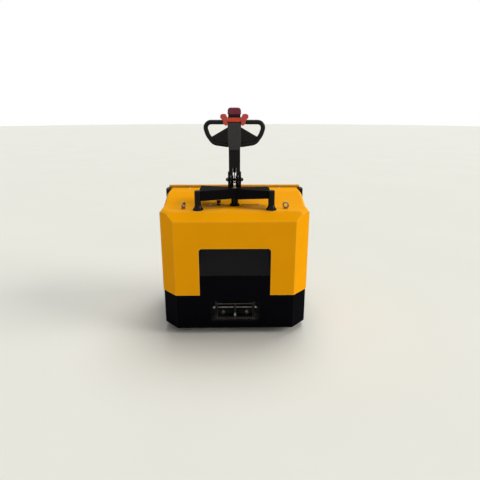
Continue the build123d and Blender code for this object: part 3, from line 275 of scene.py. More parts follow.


# %% [markdown]
# ## Paints of this machine
# Yellow powder coat covers the sheet steel, and its paler yellow edges are a painted highlight along the
# folds. The frame plate has a lighter copy of that coat with wide pale edges, which is painted light on a
# face that the lamps leave dim. The skirts have a black coat with less gloss, and the tongue a lighter copy
# of it, which is a painted reflection on its sloped face. Enamel is thinner: it is glossy on the saddle's
# posts, satin on the wings and the yoke, greyer on the tiller, and dusty and chipped on the chassis and in
# the coupling, where coat and chips are kept darker as painted shade inside the mouth.

# %% Paints
finishes = {
    # Its pale yellow edges, from the edge colour, are a painted highlight along the folds.
    "yellow_powder_coat": coating("yellow_powder_coat", "#F8A600", 0.45, 0.07, dust=0.008, cloud=0.03,
                                  edge_wear_and_highlight_colour="#FFD262", edge_wear_and_highlight_amount=0.8, edge_wear_and_highlight_mm=4.0, scuffs=0.25),
    # A lighter copy of the yellow coat with wide pale edges: painted light on the frame plate's near face and
    # its edge.
    "painted_light_powder_coat": coating("painted_light_powder_coat", "#FDB52C", 0.45, 0.07, dust=0.02, cloud=0.04,
                                  edge_wear_and_highlight_colour="#FFECA8", edge_wear_and_highlight_amount=1.0, edge_wear_and_highlight_mm=9.0, scuffs=0.25),
    "glossy_black_enamel": coating("glossy_black_enamel", "#0A090B", 0.3, 0.24, peel_mm=3.0, dust=0.005,
                                   cloud=0.12, edge_wear_and_highlight_colour="#444448", edge_wear_and_highlight_amount=0.5, edge_wear_and_highlight_mm=1.0),
    "black_powder_coat": coating("black_powder_coat", "#030309", 0.5, 0.06, peel_mm=3.0, peel_depth=0.10,
                                 dust=0.04, cloud=0.15, edge_wear_and_highlight_colour="#2C2C30", edge_wear_and_highlight_amount=0.6, scuffs=0.35),
    # A lighter copy of the black coat: painted reflection on the tongue's sloped face.
    "painted_reflection_black_coat": coating("painted_reflection_black_coat", "#18181B", 0.5, 0.10, peel_mm=3.0,
                                    peel_depth=0.12, dust=0.08, cloud=0.10, edge_wear_and_highlight_colour="#34343A", edge_wear_and_highlight_amount=0.6,
                                    scuffs=0.3),
    "chassis_enamel": coating("chassis_enamel", "#100F11", 0.5, 0.15, peel_depth=0.12, dust=0.15, cloud=0.2,
                              edge_wear_and_highlight_colour="#77777A", edge_wear_and_highlight_amount=0.9, edge_wear_and_highlight_mm=1.2, scuffs=0.5),
    # Darker than the chassis enamel, with darker rubbed edges: painted shade inside the coupling's mouth.
    "housing_enamel": coating("housing_enamel", "#0A0A0D", 0.5, 0.08, peel_depth=0.12, dust=0.05, cloud=0.2,
                              edge_wear_and_highlight_colour="#58585A", edge_wear_and_highlight_amount=0.8, edge_wear_and_highlight_mm=1.0, scuffs=0.5),
    "tiller_enamel": coating("tiller_enamel", "#1C1B1E", 0.42, 0.16, peel_mm=3.0, dust=0.03, cloud=0.12,
                             edge_wear_and_highlight_colour="#5A5A5E", edge_wear_and_highlight_amount=0.5, edge_wear_and_highlight_mm=1.0, scuffs=0.3),
    "satin_black_enamel": coating("satin_black_enamel", "#0D0C0E", 0.45, 0.05, peel_mm=3.0, dust=0.005,
                                  cloud=0.12, edge_wear_and_highlight_colour="#444448", edge_wear_and_highlight_amount=0.5, edge_wear_and_highlight_mm=1.0, scuffs=0.3),
}
print("paints:", ", ".join(finishes))

# %% [markdown]
# ## Metals
# Bare metal keeps the trace of how it was made, as a grain in its surface and as stains in its colour. A
# grain that is stretched along one direction looks drawn or ground, and one that is even looks cast or
# plated. The end of a pin that is pushed home again and again is rubbed bright, up to a sharp height.

# %% Bare metal
def metal(name, hex_colour, roughness, grain_mm, grain_depth, stain_colour, stain, metallic=1.0, lines=None,
          rubbed_below=None):
    """Bare metal with a grain in its surface and stains in its colour. lines stretches the grain."""
    material = bpy.data.materials.new(name)
    material.use_nodes = True
    tree = material.node_tree
    tree.nodes.clear()
    place = node(tree, "ShaderNodeTexCoord").outputs["Object"]
    grained = node(tree, "ShaderNodeMapping", {"Vector": place, "Scale": lines or (1.0, 1.0, 1.0)})
    stains = node(tree, "ShaderNodeTexNoise",
                  {"Vector": place, "Scale": 28.0, "Detail": 7.0, "Roughness": 0.65})
    spread = node(tree, "ShaderNodeMapRange",
                  {"Value": stains.outputs["Fac"], "From Min": 0.4, "From Max": 0.7, "To Max": stain})
    colour = node(tree, "ShaderNodeMix", {0: spread.outputs["Result"], 6: linear(hex_colour),
                                          7: linear(stain_colour)}, data_type="RGBA")
    if rubbed_below:
        # The end that is pushed home most often is rubbed bright, up to this height in mm
        height = node(tree, "ShaderNodeSeparateXYZ", {0: place})
        low = node(tree, "ShaderNodeMapRange",
                   {"Value": height.outputs["Z"], "From Min": (rubbed_below + 4.0) * mm,
                    "From Max": (rubbed_below - 4.0) * mm})
        colour = node(tree, "ShaderNodeMix", {0: low.outputs["Result"], 6: colour.outputs[2],
                                              7: linear("#A3A19D")}, data_type="RGBA")
    grain = node(tree, "ShaderNodeTexNoise", {"Vector": grained.outputs["Vector"],
                                              "Scale": 1.0 / (grain_mm * mm), "Detail": 3.0})
    relief = node(tree, "ShaderNodeBump", {"Height": grain.outputs["Fac"], "Strength": grain_depth,
                                           "Distance": 1.0 * mm})
    polish = node(tree, "ShaderNodeMath", {0: spread.outputs["Result"], 1: 0.3, 2: roughness},
                  operation="MULTIPLY_ADD")
    shader = node(tree, "ShaderNodeBsdfPrincipled",
                  {"Base Color": colour.outputs[2], "Metallic": metallic,
                   "Roughness": polish.outputs["Value"], "Normal": relief.outputs["Normal"]})
    node(tree, "ShaderNodeOutputMaterial", {"Surface": shader.outputs["BSDF"]})
    return material


# %% [markdown]
# ## Metals of this machine
# Hubs and gearbox are sand-cast iron, whose skin is grey, matt and pitted with grains of about 1 mm, drawn
# at 2 mm. Bolts, forks and axles are zinc-plated steel, pale and slightly cloudy with a bluish cast, and the
# lifting eyes have the yellow kind of that plating, which looks like dull brass. The gas spring's rod is
# hard chrome on ground steel, the only true mirror. Forged steel that is only oiled is dark and brown, the
# coupling's pin is darker still with grease, and drawn bar is worn to a soft grey shine.

# %% Metals
metals = {
    "sand_cast_iron": metal("sand_cast_iron", "#5C5C5E", 0.62, 2.0, 0.55, "#3F3A36", 0.7, metallic=0.55),
    "zinc_plated_steel": metal("zinc_plated_steel", "#C4C6C8", 0.32, 3.0, 0.12, "#8F8C84", 0.5),
    "yellow_zinc_steel": metal("yellow_zinc_steel", "#A1937A", 0.30, 3.0, 0.2, "#4E4436", 0.8),
    "hard_chrome": metal("hard_chrome", "#E3E5E8", 0.08, 2.0, 0.02, "#B9BCC0", 0.2, lines=(1.0, 1.0, 12.0)),
    "oiled_forged_steel": metal("oiled_forged_steel", "#5B5752", 0.42, 2.0, 0.3, "#3A2E26", 0.8),
    "greased_pin_steel": metal("greased_pin_steel", "#3A3734", 0.40, 2.0, 0.3, "#1E1A18", 0.8,
                               rubbed_below=121.0),
    "worn_bar_steel": metal("worn_bar_steel", "#8A8784", 0.40, 1.5, 0.25, "#4A4440", 0.8,
                            lines=(0.1, 1.0, 1.0)),
}
finishes |= metals
print("metals:", ", ".join(metals))

# %% [markdown]
# ## Moulded plastics and rubber
# The handle, the head and its buttons are injection moulded. Their moulds are spark-eroded, which leaves an
# even pebble of about 0.5 mm on the plastic, drawn at 1.5 mm here. Hands polish the pebble away where they
# hold it, so the gloss varies. Rubber and polyurethane treads are matt, dusty and scuffed by the floor.

# %% Moulded plastic or rubber
def moulding(name, hex_colour, roughness, shine, pebble_mm=1.5, pebble_depth=0.12, polished=0.12, cloud=0.05,
             grime_colour="#8C8272", grime=0.05, soft=0.0):
    """Moulded plastic or rubber: a pebbled skin, polished in patches, with a little grime in its colour."""
    material = bpy.data.materials.new(name)
    material.use_nodes = True
    tree = material.node_tree
    tree.nodes.clear()
    place = node(tree, "ShaderNodeTexCoord").outputs["Object"]
    patches = node(tree, "ShaderNodeTexNoise",
                   {"Vector": place, "Scale": 22.0, "Detail": 6.0, "Roughness": 0.6})
    tone = node(tree, "ShaderNodeMapRange",
                {"Value": patches.outputs["Fac"], "From Min": 0.3, "From Max": 0.7,
                 "To Min": 1.0 - cloud, "To Max": 1.0 + cloud})
    plastic = node(tree, "ShaderNodeVectorMath", {0: linear(hex_colour)[:3], 1: tone.outputs["Result"]},
                   operation="MULTIPLY")
    specks = node(tree, "ShaderNodeTexNoise",
                  {"Vector": place, "Scale": 60.0, "Detail": 9.0, "Roughness": 0.75})
    spread = node(tree, "ShaderNodeMapRange",
                  {"Value": specks.outputs["Fac"], "From Min": 0.48, "From Max": 0.70, "To Max": grime})
    colour = node(tree, "ShaderNodeMix", {0: spread.outputs["Result"], 6: plastic.outputs["Vector"],
                                          7: linear(grime_colour)}, data_type="RGBA")
    gloss = node(tree, "ShaderNodeMapRange",
                 {"Value": patches.outputs["Fac"], "From Min": 0.35, "From Max": 0.65,
                  "To Min": max(0.05, roughness - polished), "To Max": min(1.0, roughness + polished)})
    pebble = node(tree, "ShaderNodeTexVoronoi", {"Vector": place, "Scale": 1.0 / (pebble_mm * mm)},
                  feature="SMOOTH_F1")
    relief = node(tree, "ShaderNodeBump", {"Height": pebble.outputs["Distance"], "Strength": pebble_depth,
                                           "Distance": 0.5 * mm})
    shader = node(tree, "ShaderNodeBsdfPrincipled",
                  {"Base Color": colour.outputs[2], "Roughness": gloss.outputs["Result"], "IOR": 1.5,
                   "Specular IOR Level": 0.04, "Normal": relief.outputs["Normal"], "Sheen Weight": soft,
                   "Coat Weight": shine, "Coat Roughness": 0.18, "Coat Normal": relief.outputs["Normal"]})
    node(tree, "ShaderNodeOutputMaterial", {"Surface": shader.outputs["BSDF"]})
    return material


# %% [markdown]
# ## Plastics and rubbers of this machine
# Handle, head and neck are nylon filled with glass, which is black and a little dull where the fibres reach
# the skin. Lid and buttons are ABS, smoother and clearer in colour. The treads are cast polyurethane and
# rubber, and the seal and the side bumpers are moulded rubber: dark, matt and soft at their edges.

# %% Plastics and rubbers
plastics = {
    "glass_filled_nylon": moulding("glass_filled_nylon", "#09090C", 0.36, 0.22, polished=0.14, grime=0.03),
    "grey_abs": moulding("grey_abs", "#39393D", 0.42, 0.2),
    "orange_abs": moulding("orange_abs", "#D84A2A", 0.34, 0.3, pebble_depth=0.05),
    "salmon_abs": moulding("salmon_abs", "#C4473C", 0.28, 0.5, pebble_depth=0.05),
    "crimson_abs": moulding("crimson_abs", "#740B33", 0.20, 0.5, pebble_depth=0.03),
    "battery_polypropylene": moulding("battery_polypropylene", "#3A3A40", 0.5, 0.3),
    "moulded_rubber": moulding("moulded_rubber", "#0F0F10", 0.68, 0.15, pebble_mm=2.5, pebble_depth=0.2,
                               grime=0.08, soft=0.05),
    "polyurethane_tread": moulding("polyurethane_tread", "#2A2220", 0.55, 0.3, pebble_mm=4.0,
                                   pebble_depth=0.25, grime=0.35, cloud=0.15),
    "black_tread_rubber": moulding("black_tread_rubber", "#1B1B1B", 0.72, 0.2, pebble_mm=3.0,
                                   pebble_depth=0.3, grime=0.3, cloud=0.15),
}
finishes |= plastics
print("plastics:", ", ".join(plastics), "- finishes in all:", len(finishes))

# %% [markdown]
# ## Edges and finishes of the CAD solids
# A CAD solid has knife edges, and a real folded sheet or turned part has none: its small radius catches a
# thin line of light, and the eye reads the thickness of the part from that line. Rounding by hand fifty
# times would be slow, so modifiers do it. Weld joins the loose triangles, Decimate turns flat areas back
# into single faces, Bevel rounds what turns more than an angle, and Weighted Normal keeps the flat faces
# flat.

# %% Round the edges and give each solid its finish
def dress(name, finish, radius_mm, angle):
    """Give a solid its finish, and round its edges where its surface turns by more than the angle."""
    solid = frame["nodes"][name]
    solid.data.materials.clear()
    solid.data.materials.append(finishes[finish])
    if radius_mm:
        weld = solid.modifiers.new("join_triangles", "WELD")
        weld.merge_threshold = 0.02 * mm
        flat = solid.modifiers.new("flat_faces", "DECIMATE")
        flat.decimate_type = "DISSOLVE"
        flat.angle_limit = radians(0.5)
        bevel = solid.modifiers.new("edge_radius", "BEVEL")
        bevel.width = radius_mm * mm
        bevel.segments = 2
        bevel.limit_method = "ANGLE"
        bevel.angle_limit = radians(angle)
        facets = solid.modifiers.new("small_facets", "TRIANGULATE")
        facets.ngon_method = "BEAUTY"
        normal = solid.modifiers.new("flat_shading", "WEIGHTED_NORMAL")
        normal.weight = 80
    return solid


# %% [markdown]
# ## Which finish goes where
# One line for each solid keeps the whole machine in view. A radius of 0 leaves a solid as it is, because its
# edges are round already or too small to show.

# %% Dress the solids
# name: finish, radius in mm, smallest angle in degrees that is rounded
dressing = {
    "near_cover": ("yellow_powder_coat", 3.0, 20.0),
    "rear_cover": ("yellow_powder_coat", 1.2, 20.0),
    "top_cover": ("yellow_powder_coat", 2.0, 10.0),
    "side_panel_left": ("yellow_powder_coat", 1.2, 20.0),
    "side_panel_right": ("yellow_powder_coat", 1.2, 20.0),
    # The frame plate's lighter coat is painted light.
    "rear_frame_plate": ("painted_light_powder_coat", 6.0, 20.0),
    "near_skirt": ("black_powder_coat", 1.5, 10.0),
    # The tongue's lighter coat is a painted reflection.
    "tongue_panel": ("painted_reflection_black_coat", 1.5, 8.0),
    "rear_skirt": ("black_powder_coat", 1.2, 20.0),
    "side_skirt_left": ("black_powder_coat", 1.2, 20.0),
    "side_skirt_right": ("black_powder_coat", 1.2, 20.0),
    "groove_seal": ("moulded_rubber", 2.0, 30.0),
    "corner_bumpers": ("moulded_rubber", 2.5, 30.0),
    "chassis_plate": ("chassis_enamel", 1.5, 30.0),
    "coupling_housing": ("housing_enamel", 0.0, 40.0),
    "coupling_pin": ("greased_pin_steel", 0.5, 40.0),
    "lifting_eyes": ("yellow_zinc_steel", 0.0, 40.0),
    "saddle_posts": ("glossy_black_enamel", 0.0, 30.0),
    "centre_post": ("glossy_black_enamel", 0.0, 30.0),
    "saddle_wing_left": ("satin_black_enamel", 0.0, 30.0),
    "saddle_wing_right": ("satin_black_enamel", 0.0, 30.0),
    "tiller_yoke": ("satin_black_enamel", 0.8, 35.0),
    "tiller_arm": ("tiller_enamel", 1.0, 35.0),
    "tiller_head": ("glass_filled_nylon", 1.5, 20.0),
    "head_lid": ("grey_abs", 1.0, 20.0),
    "head_neck": ("glass_filled_nylon", 1.5, 30.0),
    "horn_bar": ("orange_abs", 1.0, 30.0),
    "thumb_paddles": ("salmon_abs", 4.5, 35.0),
    "belly_button": ("crimson_abs", 2.5, 20.0),
    "handle_loop": ("glass_filled_nylon", 2.0, 40.0),
    "gas_spring_cylinder": ("satin_black_enamel", 0.0, 30.0),
    "gas_spring_rod": ("hard_chrome", 0.0, 30.0),
    "load_brackets": ("chassis_enamel", 1.0, 35.0),
    "load_axles": ("zinc_plated_steel", 0.8, 40.0),
    "load_hub_left": ("sand_cast_iron", 1.0, 40.0),
    "load_hub_right": ("sand_cast_iron", 1.0, 40.0),
    "load_tyre_left": ("polyurethane_tread", 0.0, 40.0),
    "load_tyre_right": ("polyurethane_tread", 0.0, 40.0),
    "drive_hub": ("sand_cast_iron", 1.0, 40.0),
    "drive_tyre": ("black_tread_rubber", 0.0, 40.0),
    "drive_gearbox": ("sand_cast_iron", 2.0, 40.0),
    "drive_motor": ("chassis_enamel", 2.0, 40.0),
    "steering_bearing": ("zinc_plated_steel", 0.8, 40.0),
    "steering_column": ("chassis_enamel", 1.0, 40.0),
    "castor_fork_left": ("zinc_plated_steel", 0.8, 40.0),
    "castor_fork_right": ("zinc_plated_steel", 0.8, 40.0),
    "castor_housings": ("chassis_enamel", 1.5, 40.0),
    "castor_wheel_left": ("polyurethane_tread", 0.0, 40.0),
    "castor_wheel_right": ("polyurethane_tread", 0.0, 40.0),
    "battery": ("battery_polypropylene", 3.0, 30.0),
}
for name, (finish, radius_mm, angle) in dressing.items():
    dress(name, finish, radius_mm, angle)
print("dressed:", len(dressing), "without a finish:", sorted(set(frame["nodes"]) - set(dressing)))

# %% [markdown]
# ## Tools for modelling
# Every fitting below starts as one primitive. Two shapes cover most of them. Turned work, such as a bolt
# head, a tyre or a washer, is a circle that is extruded from station to station and resized at each, which is
# what a lathe does; six points in place of thirty make it a hexagon. Blocks are cubes with bevelled edges.
# One helper finishes a piece: it joins the copies, so that each place has its own mesh, and gives it its
# name, finish and body.

# %% Helpers for modelling
def begin(operator, **settings):
    """Deselect everything and add one primitive, which is then all that is selected."""
    bpy.ops.object.select_all(action="DESELECT")
    operator(**settings)
    return bpy.context.object


def turned(stations, points=28, closed=True):
    """Extrude a circle through stations of (radius, height) in mm along Z. Open ends meet if not closed."""
    radius, height = stations[0]
    piece = begin(bpy.ops.mesh.primitive_circle_add, vertices=points, radius=radius * mm,
                  location=(0.0, 0.0, height * mm), fill_type="NGON" if closed else "NOTHING")
    bpy.ops.object.transform_apply(location=True, rotation=True, scale=True)
    bpy.ops.object.mode_set(mode="EDIT")
    bpy.ops.mesh.select_all(action="SELECT")
    for (r0, z0), (r1, z1) in zip(stations, stations[1:]):
        bpy.ops.mesh.extrude_region_move(TRANSFORM_OT_translate={"value": (0.0, 0.0, (z1 - z0) * mm)})
        bpy.ops.transform.resize(value=(r1 / r0, r1 / r0, 1.0), center_override=(0.0, 0.0, z1 * mm))
    bpy.ops.mesh.select_all(action="SELECT")
    bpy.ops.mesh.remove_doubles(threshold=0.01 * mm)
    bpy.ops.mesh.normals_make_consistent(inside=False)
    bpy.ops.object.mode_set(mode="OBJECT")
    return piece


def block(size, middle, edge=0.5, segments=2):
    """A block of size and middle in mm, with its edges rounded."""
    piece = begin(bpy.ops.mesh.primitive_cube_add, size=1.0, location=[v * mm for v in middle],
                  scale=[v * mm for v in size])
    bpy.ops.object.transform_apply(location=True, rotation=True, scale=True)
    bpy.ops.object.mode_set(mode="EDIT")
    bpy.ops.mesh.select_all(action="SELECT")
    bpy.ops.mesh.bevel(offset=edge * mm, segments=segments, affect="EDGES")
    bpy.ops.object.mode_set(mode="OBJECT")
    return piece


def joined(*pieces):
    """Join pieces into the first."""
    bpy.ops.object.select_all(action="DESELECT")
    for piece in pieces:
        piece.select_set(True)
    bpy.context.view_layer.objects.active = pieces[0]
    bpy.ops.object.join()
    return bpy.context.object


def placed(pattern, middle, facing=(0, 0, 1), turn=0.0):
    """Copy a pattern with its own mesh, and lay its Z axis along facing at middle, in mm."""
    copy = pattern.copy()
    copy.data = pattern.data.copy()
    bpy.context.collection.objects.link(copy)
    stand = Vector(facing).to_track_quat("Z", "Y").to_matrix().to_4x4()
    stand = stand @ Matrix.Rotation(radians(turn), 4, "Z")
    copy.data.transform(Matrix.Translation(Vector(middle) * mm) @ stand)
    return copy


# What faces straight up is turned half round by to_track_quat, so a piece built at its place is turned back
as_built = ((0, 0, 0), (0, 0, 1), 180.0)


def fitted(name, finish, body, pattern, places):
    """Set a pattern in all its places as one piece, and give it its name, finish and body."""
    piece = joined(*[placed(pattern, *place) for place in places])
    bpy.data.objects.remove(pattern)
    piece.name = piece.data.name = name
    piece.data.materials.clear()
    piece.data.materials.append(finishes[finish])
    bpy.ops.object.shade_smooth_by_angle(angle=radians(32.0))
    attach(piece, body)
    print(name, "-", len(places), "x,", len(piece.data.polygons), "faces")
    return piece


# %% [markdown]
# ## Screws in the covers
# Sheet covers are held by button-head screws with a hexagon socket. A real one is a turned blank whose
# socket is punched. It could be a boolean of two cylinders, but stations that go up the dome, over the rim
# and down into the socket give the same shape with clean faces. The last station is the socket's floor.

# %% Button screws on deck, flat, side panels, skirts and rear corners
def button_screw(radius, height):
    return turned([(radius, -0.4), (radius, 0.25 * height), (0.86 * radius, 0.7 * height),
                   (0.62 * radius, height), (0.45 * radius, height), (0.40 * radius, 0.35 * height)], 18)


fit_gap = 0.3
deck_z = round(lowest["saddle_posts"][2] - fit_gap, 1)
flat_z = highest["top_cover"][2]
print("deck", deck_z, "mm, flat", flat_z, "mm")
top_places = [((x, y, z), (0, 0, 1)) for x, y, z in (
    (-155, -110, deck_z), (155, -110, deck_z), (-312, 180, flat_z), (312, 180, flat_z))]
fitted("top_cover_screws", "zinc_plated_steel", "root", button_screw(5.5, 3.2), top_places)

panel_x, skirt_x = highest["side_panel_right"][0], highest["side_skirt_right"][0]
side_places = []
for side in (-1, 1):
    for y in (-205.0, 0.0):
        side_places += [((side * panel_x, y, z), (side, 0, 0)) for z in (295.0, 700.0)]
    side_places += [((side * skirt_x, y, 90.0), (side, 0, 0)) for y in (-205.0, -20.0)]
fitted("side_screws", "zinc_plated_steel", "root", button_screw(7.0, 3.6), side_places)

# The rear corners are chamfers, so their screws stand at 45 degrees and stay inside the rear face
chamfer = 75.0
rear_corner = panel_x - chamfer / 2, highest["rear_cover"][1] - chamfer / 2
rear_places = [((side * rear_corner[0], rear_corner[1], z), (side, 1, 0))
               for side in (-1, 1) for z in (300.0, 500.0, 700.0)]
fitted("rear_corner_screws", "zinc_plated_steel", "root", button_screw(7.0, 3.6), rear_places)

# %% [markdown]
# ## Bolts
# A hexagon bolt is a hexagon with a chamfered top on a thin washer. The same stations with six points make
# the head, and with many points the washer, and the two are joined.

# %% Bolts of the saddle, the yoke, the coupling and the wheels
def hexagon_bolt(radius, height, washer=0.0, thread=0.0):
    """Head or nut on a washer, with the end of its thread, all in mm."""
    base = 0.2 * radius if washer else 0.0
    top = base + height
    parts = [turned([(radius, base - 0.3), (radius, base + 0.82 * height), (0.86 * radius, top)], 6)]
    if washer:
        parts.append(turned([(washer, -0.3), (washer, base - 0.4), (washer - 0.4, base)], 28))
    if thread:
        rings = [(0.5 * radius - 0.35 * (i % 2), top + i * thread / 5) for i in range(5)]
        root = (0.5 * radius, base + 0.5 * height)
        parts.append(turned([root] + rings + [(0.4 * radius, top + thread)], 18))
    return joined(*parts)


fitted("saddle_bolt", "worn_bar_steel", "root", hexagon_bolt(8.0, 5.5, 12.0),
       [((0, -125, 891), (0, 0, 1), 12.0)])
pivot_y, pivot_z = axis["tiller_tilt"][1:]
fitted("yoke_pivot_nuts", "oiled_forged_steel", "drive_unit",
       hexagon_bolt(12.4, 9.5, 15.0, 4.0),
       [((side * 44.0, pivot_y, pivot_z), (side, 0, 0)) for side in (-1, 1)])

thrust_washer = turned([(11.0, -1.9), (25.4, -1.9), (26.0, -1.3), (26.0, 1.3), (25.4, 1.9), (11.0, 1.9),
                        (11.0, -1.9)], 40, closed=False)
fitted("yoke_thrust_washers", "glass_filled_nylon", "drive_unit", thrust_washer,
       [((side * 26.5, pivot_y, pivot_z), (1, 0, 0)) for side in (-1, 1)])


def socket_screw(radius, height):
    """Cap screw with a deep socket."""
    return turned([(radius, -0.3), (radius, 0.85 * height), (0.9 * radius, height), (0.58 * radius, height),
                   (0.55 * radius, 0.4 * height)], 20)


fitted("yoke_base_screws", "oiled_forged_steel", "drive_unit", socket_screw(5.5, 6.0),
       [((x, pivot_y + y, 845.0), (0, 0, 1)) for x in (-24, 24) for y in (-48, 48)])

# %% [markdown]
# ## Towing coupling
# The coupling is a welded steel casing behind a mouth in the skirt: a box that is open to the front, with a
# shelf above, a lip below and a cheek on each side. It could be one extruded profile, but the real one is
# plates, so it is built of plates, and two cutters hollow the box and drill the passage of the pin. Each
# plate keeps its own rounded edge, and these edges are what shows in the dark of the mouth.

# %% Casing with shelf, lip and cheeks
def cut_out(piece, cutter):
    """Subtract a cutter from a piece, and remove the cutter."""
    cut = piece.modifiers.new("cut", "BOOLEAN")
    cut.operation, cut.solver, cut.object = "DIFFERENCE", "EXACT", cutter
    bpy.ops.object.select_all(action="DESELECT")
    bpy.context.view_layer.objects.active = piece
    bpy.ops.object.modifier_apply(modifier=cut.name)
    bpy.data.objects.remove(cutter)
    return piece


pin_y = round((lowest["coupling_pin"][1] + highest["coupling_pin"][1]) / 2, 1)
plate_thickness, pin_bore = 12.0, 9.6
plate_y = round(highest["coupling_housing"][1] - plate_thickness, 1)
inside_y = -276.4
passage = turned([(pin_bore, 80.0), (pin_bore, 280.0)], 32)
casing = block((318.8, 84.0, 170.4), (0, -275.4, 176.5), 1.2)
hollow = block((318.8 - 2 * plate_thickness, 84.0, 128.3), (0, plate_y - 42.0, 155.0))
casing = cut_out(cut_out(casing, hollow), placed(passage, (0, pin_y, 0)))
shelf = cut_out(block((222.0, 61.0, 8.0), (0, -276.6, 196.0), 1.0), placed(passage, (0, pin_y, 0)))
lip = block((248.0, 62.0, 8.0), (0, inside_y, 95.6), 1.0)
cheeks = [block((14.0, 62.0, 127.0), (side * 117.0, inside_y, 155.2), 1.2) for side in (-1, 1)]
bpy.data.objects.remove(passage)
print("pin at y", pin_y, "mm, back plate at y", plate_y, "mm")
# Its darker enamel is painted shade inside the mouth.
piece = fitted("coupling_casing", "housing_enamel", "root",
               joined(casing, shelf, lip, *cheeks), [as_built])
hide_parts("coupling_housing")

# %% [markdown]
# ## Fittings of the towing coupling
# A turned cross rod runs through both cheeks, with a collar inside each cheek and a head outside, and a
# split pin hangs from each head. Two screws with cup washers stand on sleeves before the back plate, and a
# wear strip faces the shelf and the lip, where the drawbar rubs. The rod's stations run from end to end, so
# that collars and heads are of one piece with it, as they are when it is turned from a bar.

# %% Rod, split pins, cup washers and wear strips
rod_y, rod_z = -256.0, 146.0
half_rod = [(5.4, 0.0), (5.4, 103.6), (6.6, 103.6), (7.4, 104.4), (7.4, 109.6), (5.4, 109.9), (5.4, 140.6),
            (4.6, 141.4)]
rod = turned([(r, -z) for r, z in reversed(half_rod)] + half_rod[1:], 24)
fitted("coupling_rod", "worn_bar_steel", "root", rod, [((0, rod_y, rod_z), (1, 0, 0))])
rod_head = turned([(8.6, 0.1), (9.4, 0.9), (9.4, 11.5), (8.6, 12.5), (5.6, 12.5)], 28)
fitted("coupling_rod_heads", "zinc_plated_steel", "root", rod_head,
       [((side * 124.0, rod_y, rod_z), (side, 0, 0)) for side in (-1, 1)])

loop = begin(bpy.ops.mesh.primitive_torus_add, major_segments=24, minor_segments=8, major_radius=6.6 * mm,
             minor_radius=1.2 * mm)
leg = turned([(1.2, 0.0), (1.2, 24.0), (0.8, 24.8)], 8)
split_pin = joined(loop, placed(leg, (6.0, 0, 0), (1.0, 0, 0.10)),
                   placed(leg, (6.0, 0, 0), (1.0, 0, -0.12)))
bpy.data.objects.remove(leg)
fitted("split_pins", "zinc_plated_steel", "root", split_pin,
       [((side * 138.4, rod_y, rod_z - 0.8), (side, 0.25, 0.0), 90.0 - side * 150.0) for side in (-1, 1)])

sleeve = turned([(10.0, -0.3), (10.0, 13.0), (12.0, 13.0), (12.0, 16.0), (11.0, 17.0), (9.4, 17.0),
                 (8.0, 14.6), (6.2, 14.6), (6.2, 17.2), (5.4, 18.0), (3.4, 18.0), (3.1, 15.4)], 30)
fitted("coupling_screws", "worn_bar_steel", "root", sleeve,
       [((side * 75.0, plate_y, 112.0), (0, -1, 0)) for side in (-1, 1)])

strips = joined(block((218.0, 1.6, 4.4), (0, -307.6, 196.2)), block((246.0, 1.2, 4.6), (0, -308.0, 96.2)))
fitted("wear_strips", "oiled_forged_steel", "root", strips, [as_built])

# %% [markdown]
# ## Roots of the handle
# Where the lower tube of the loop meets the tapered head, the moulding swells into a root on each side, so
# that no gap shows between them. A block with well rounded edges is sunk into both.

# %% Roots of the handle
root = block((10.0, 23.0, 27.0), (0, 0, 0), 3.5, 3)
fitted("handle_roots", "glass_filled_nylon", "tiller", root,
       [((side * 41.5, 109, 1134.0), (0, 0, 1)) for side in (-1, 1)])

# %% [markdown]
# ## Key switch and latch rod on the deck
# At the foot of the deck's rise sits the key switch, left of the saddle's post, with its key in it and a
# ring through the key's bow. On the other side lies a thin latch rod with a ball at its end. All are smaller
# than a hand, so they are kept simple: a turned bezel, a bevelled block for the bow, a torus for the ring.

# %% Key switch with its key, and the latch rod
key_place = (-100, -109, deck_z)
bezel = turned([(13.0, -0.3), (13.0, 2.4), (12.0, 3.4), (9.6, 3.4), (8.8, 2.2), (6.6, 2.2), (6.6, 6.2),
                (5.8, 7.0), (1.6, 7.0), (1.5, 5.0)], 30)
fitted("key_switch", "glass_filled_nylon", "root", bezel, [(key_place, (0, 0, 1))])
bow = block((27.0, 4.0, 20.0), (0.0, 0.0, 20.5), 1.9, 3)
neck = block((7.0, 2.2, 8.0), (0.0, 0.0, 8.5), 0.5, 1)
fitted("key", "glass_filled_nylon", "root", joined(bow, neck),
       [(key_place, (0, 0, 1), 24.0)])
ring = begin(bpy.ops.mesh.primitive_torus_add, major_segments=36, minor_segments=8, major_radius=12.0 * mm,
             minor_radius=1.0 * mm)
fitted("key_ring", "oiled_forged_steel", "root", ring,
       [((-110.5, -111.0, deck_z + 14.0), (0.45, 0.75, 0.3)),
        ((-120.0, -116.0, deck_z + 4.6), (0.2, -0.3, 1.0))])
fitted("latch_rod", "oiled_forged_steel", "root",
       turned([(1.6, -118.0), (1.6, -4.0), (2.6, -3.0), (3.4, -0.5), (3.2, 1.6), (1.8, 3.2)], 12),
       [((158, -109, deck_z + 3.2), (1, 0, 0))])

# %% [markdown]
# ## Louvre blades
# Behind each slot of the rear cover a blade leans inwards from the slot's lower edge, so that air passes and
# rain doesn't. On the real cover it is pressed from the same sheet. Here it is a thin block that is turned
# about its lower edge, one for each slot.

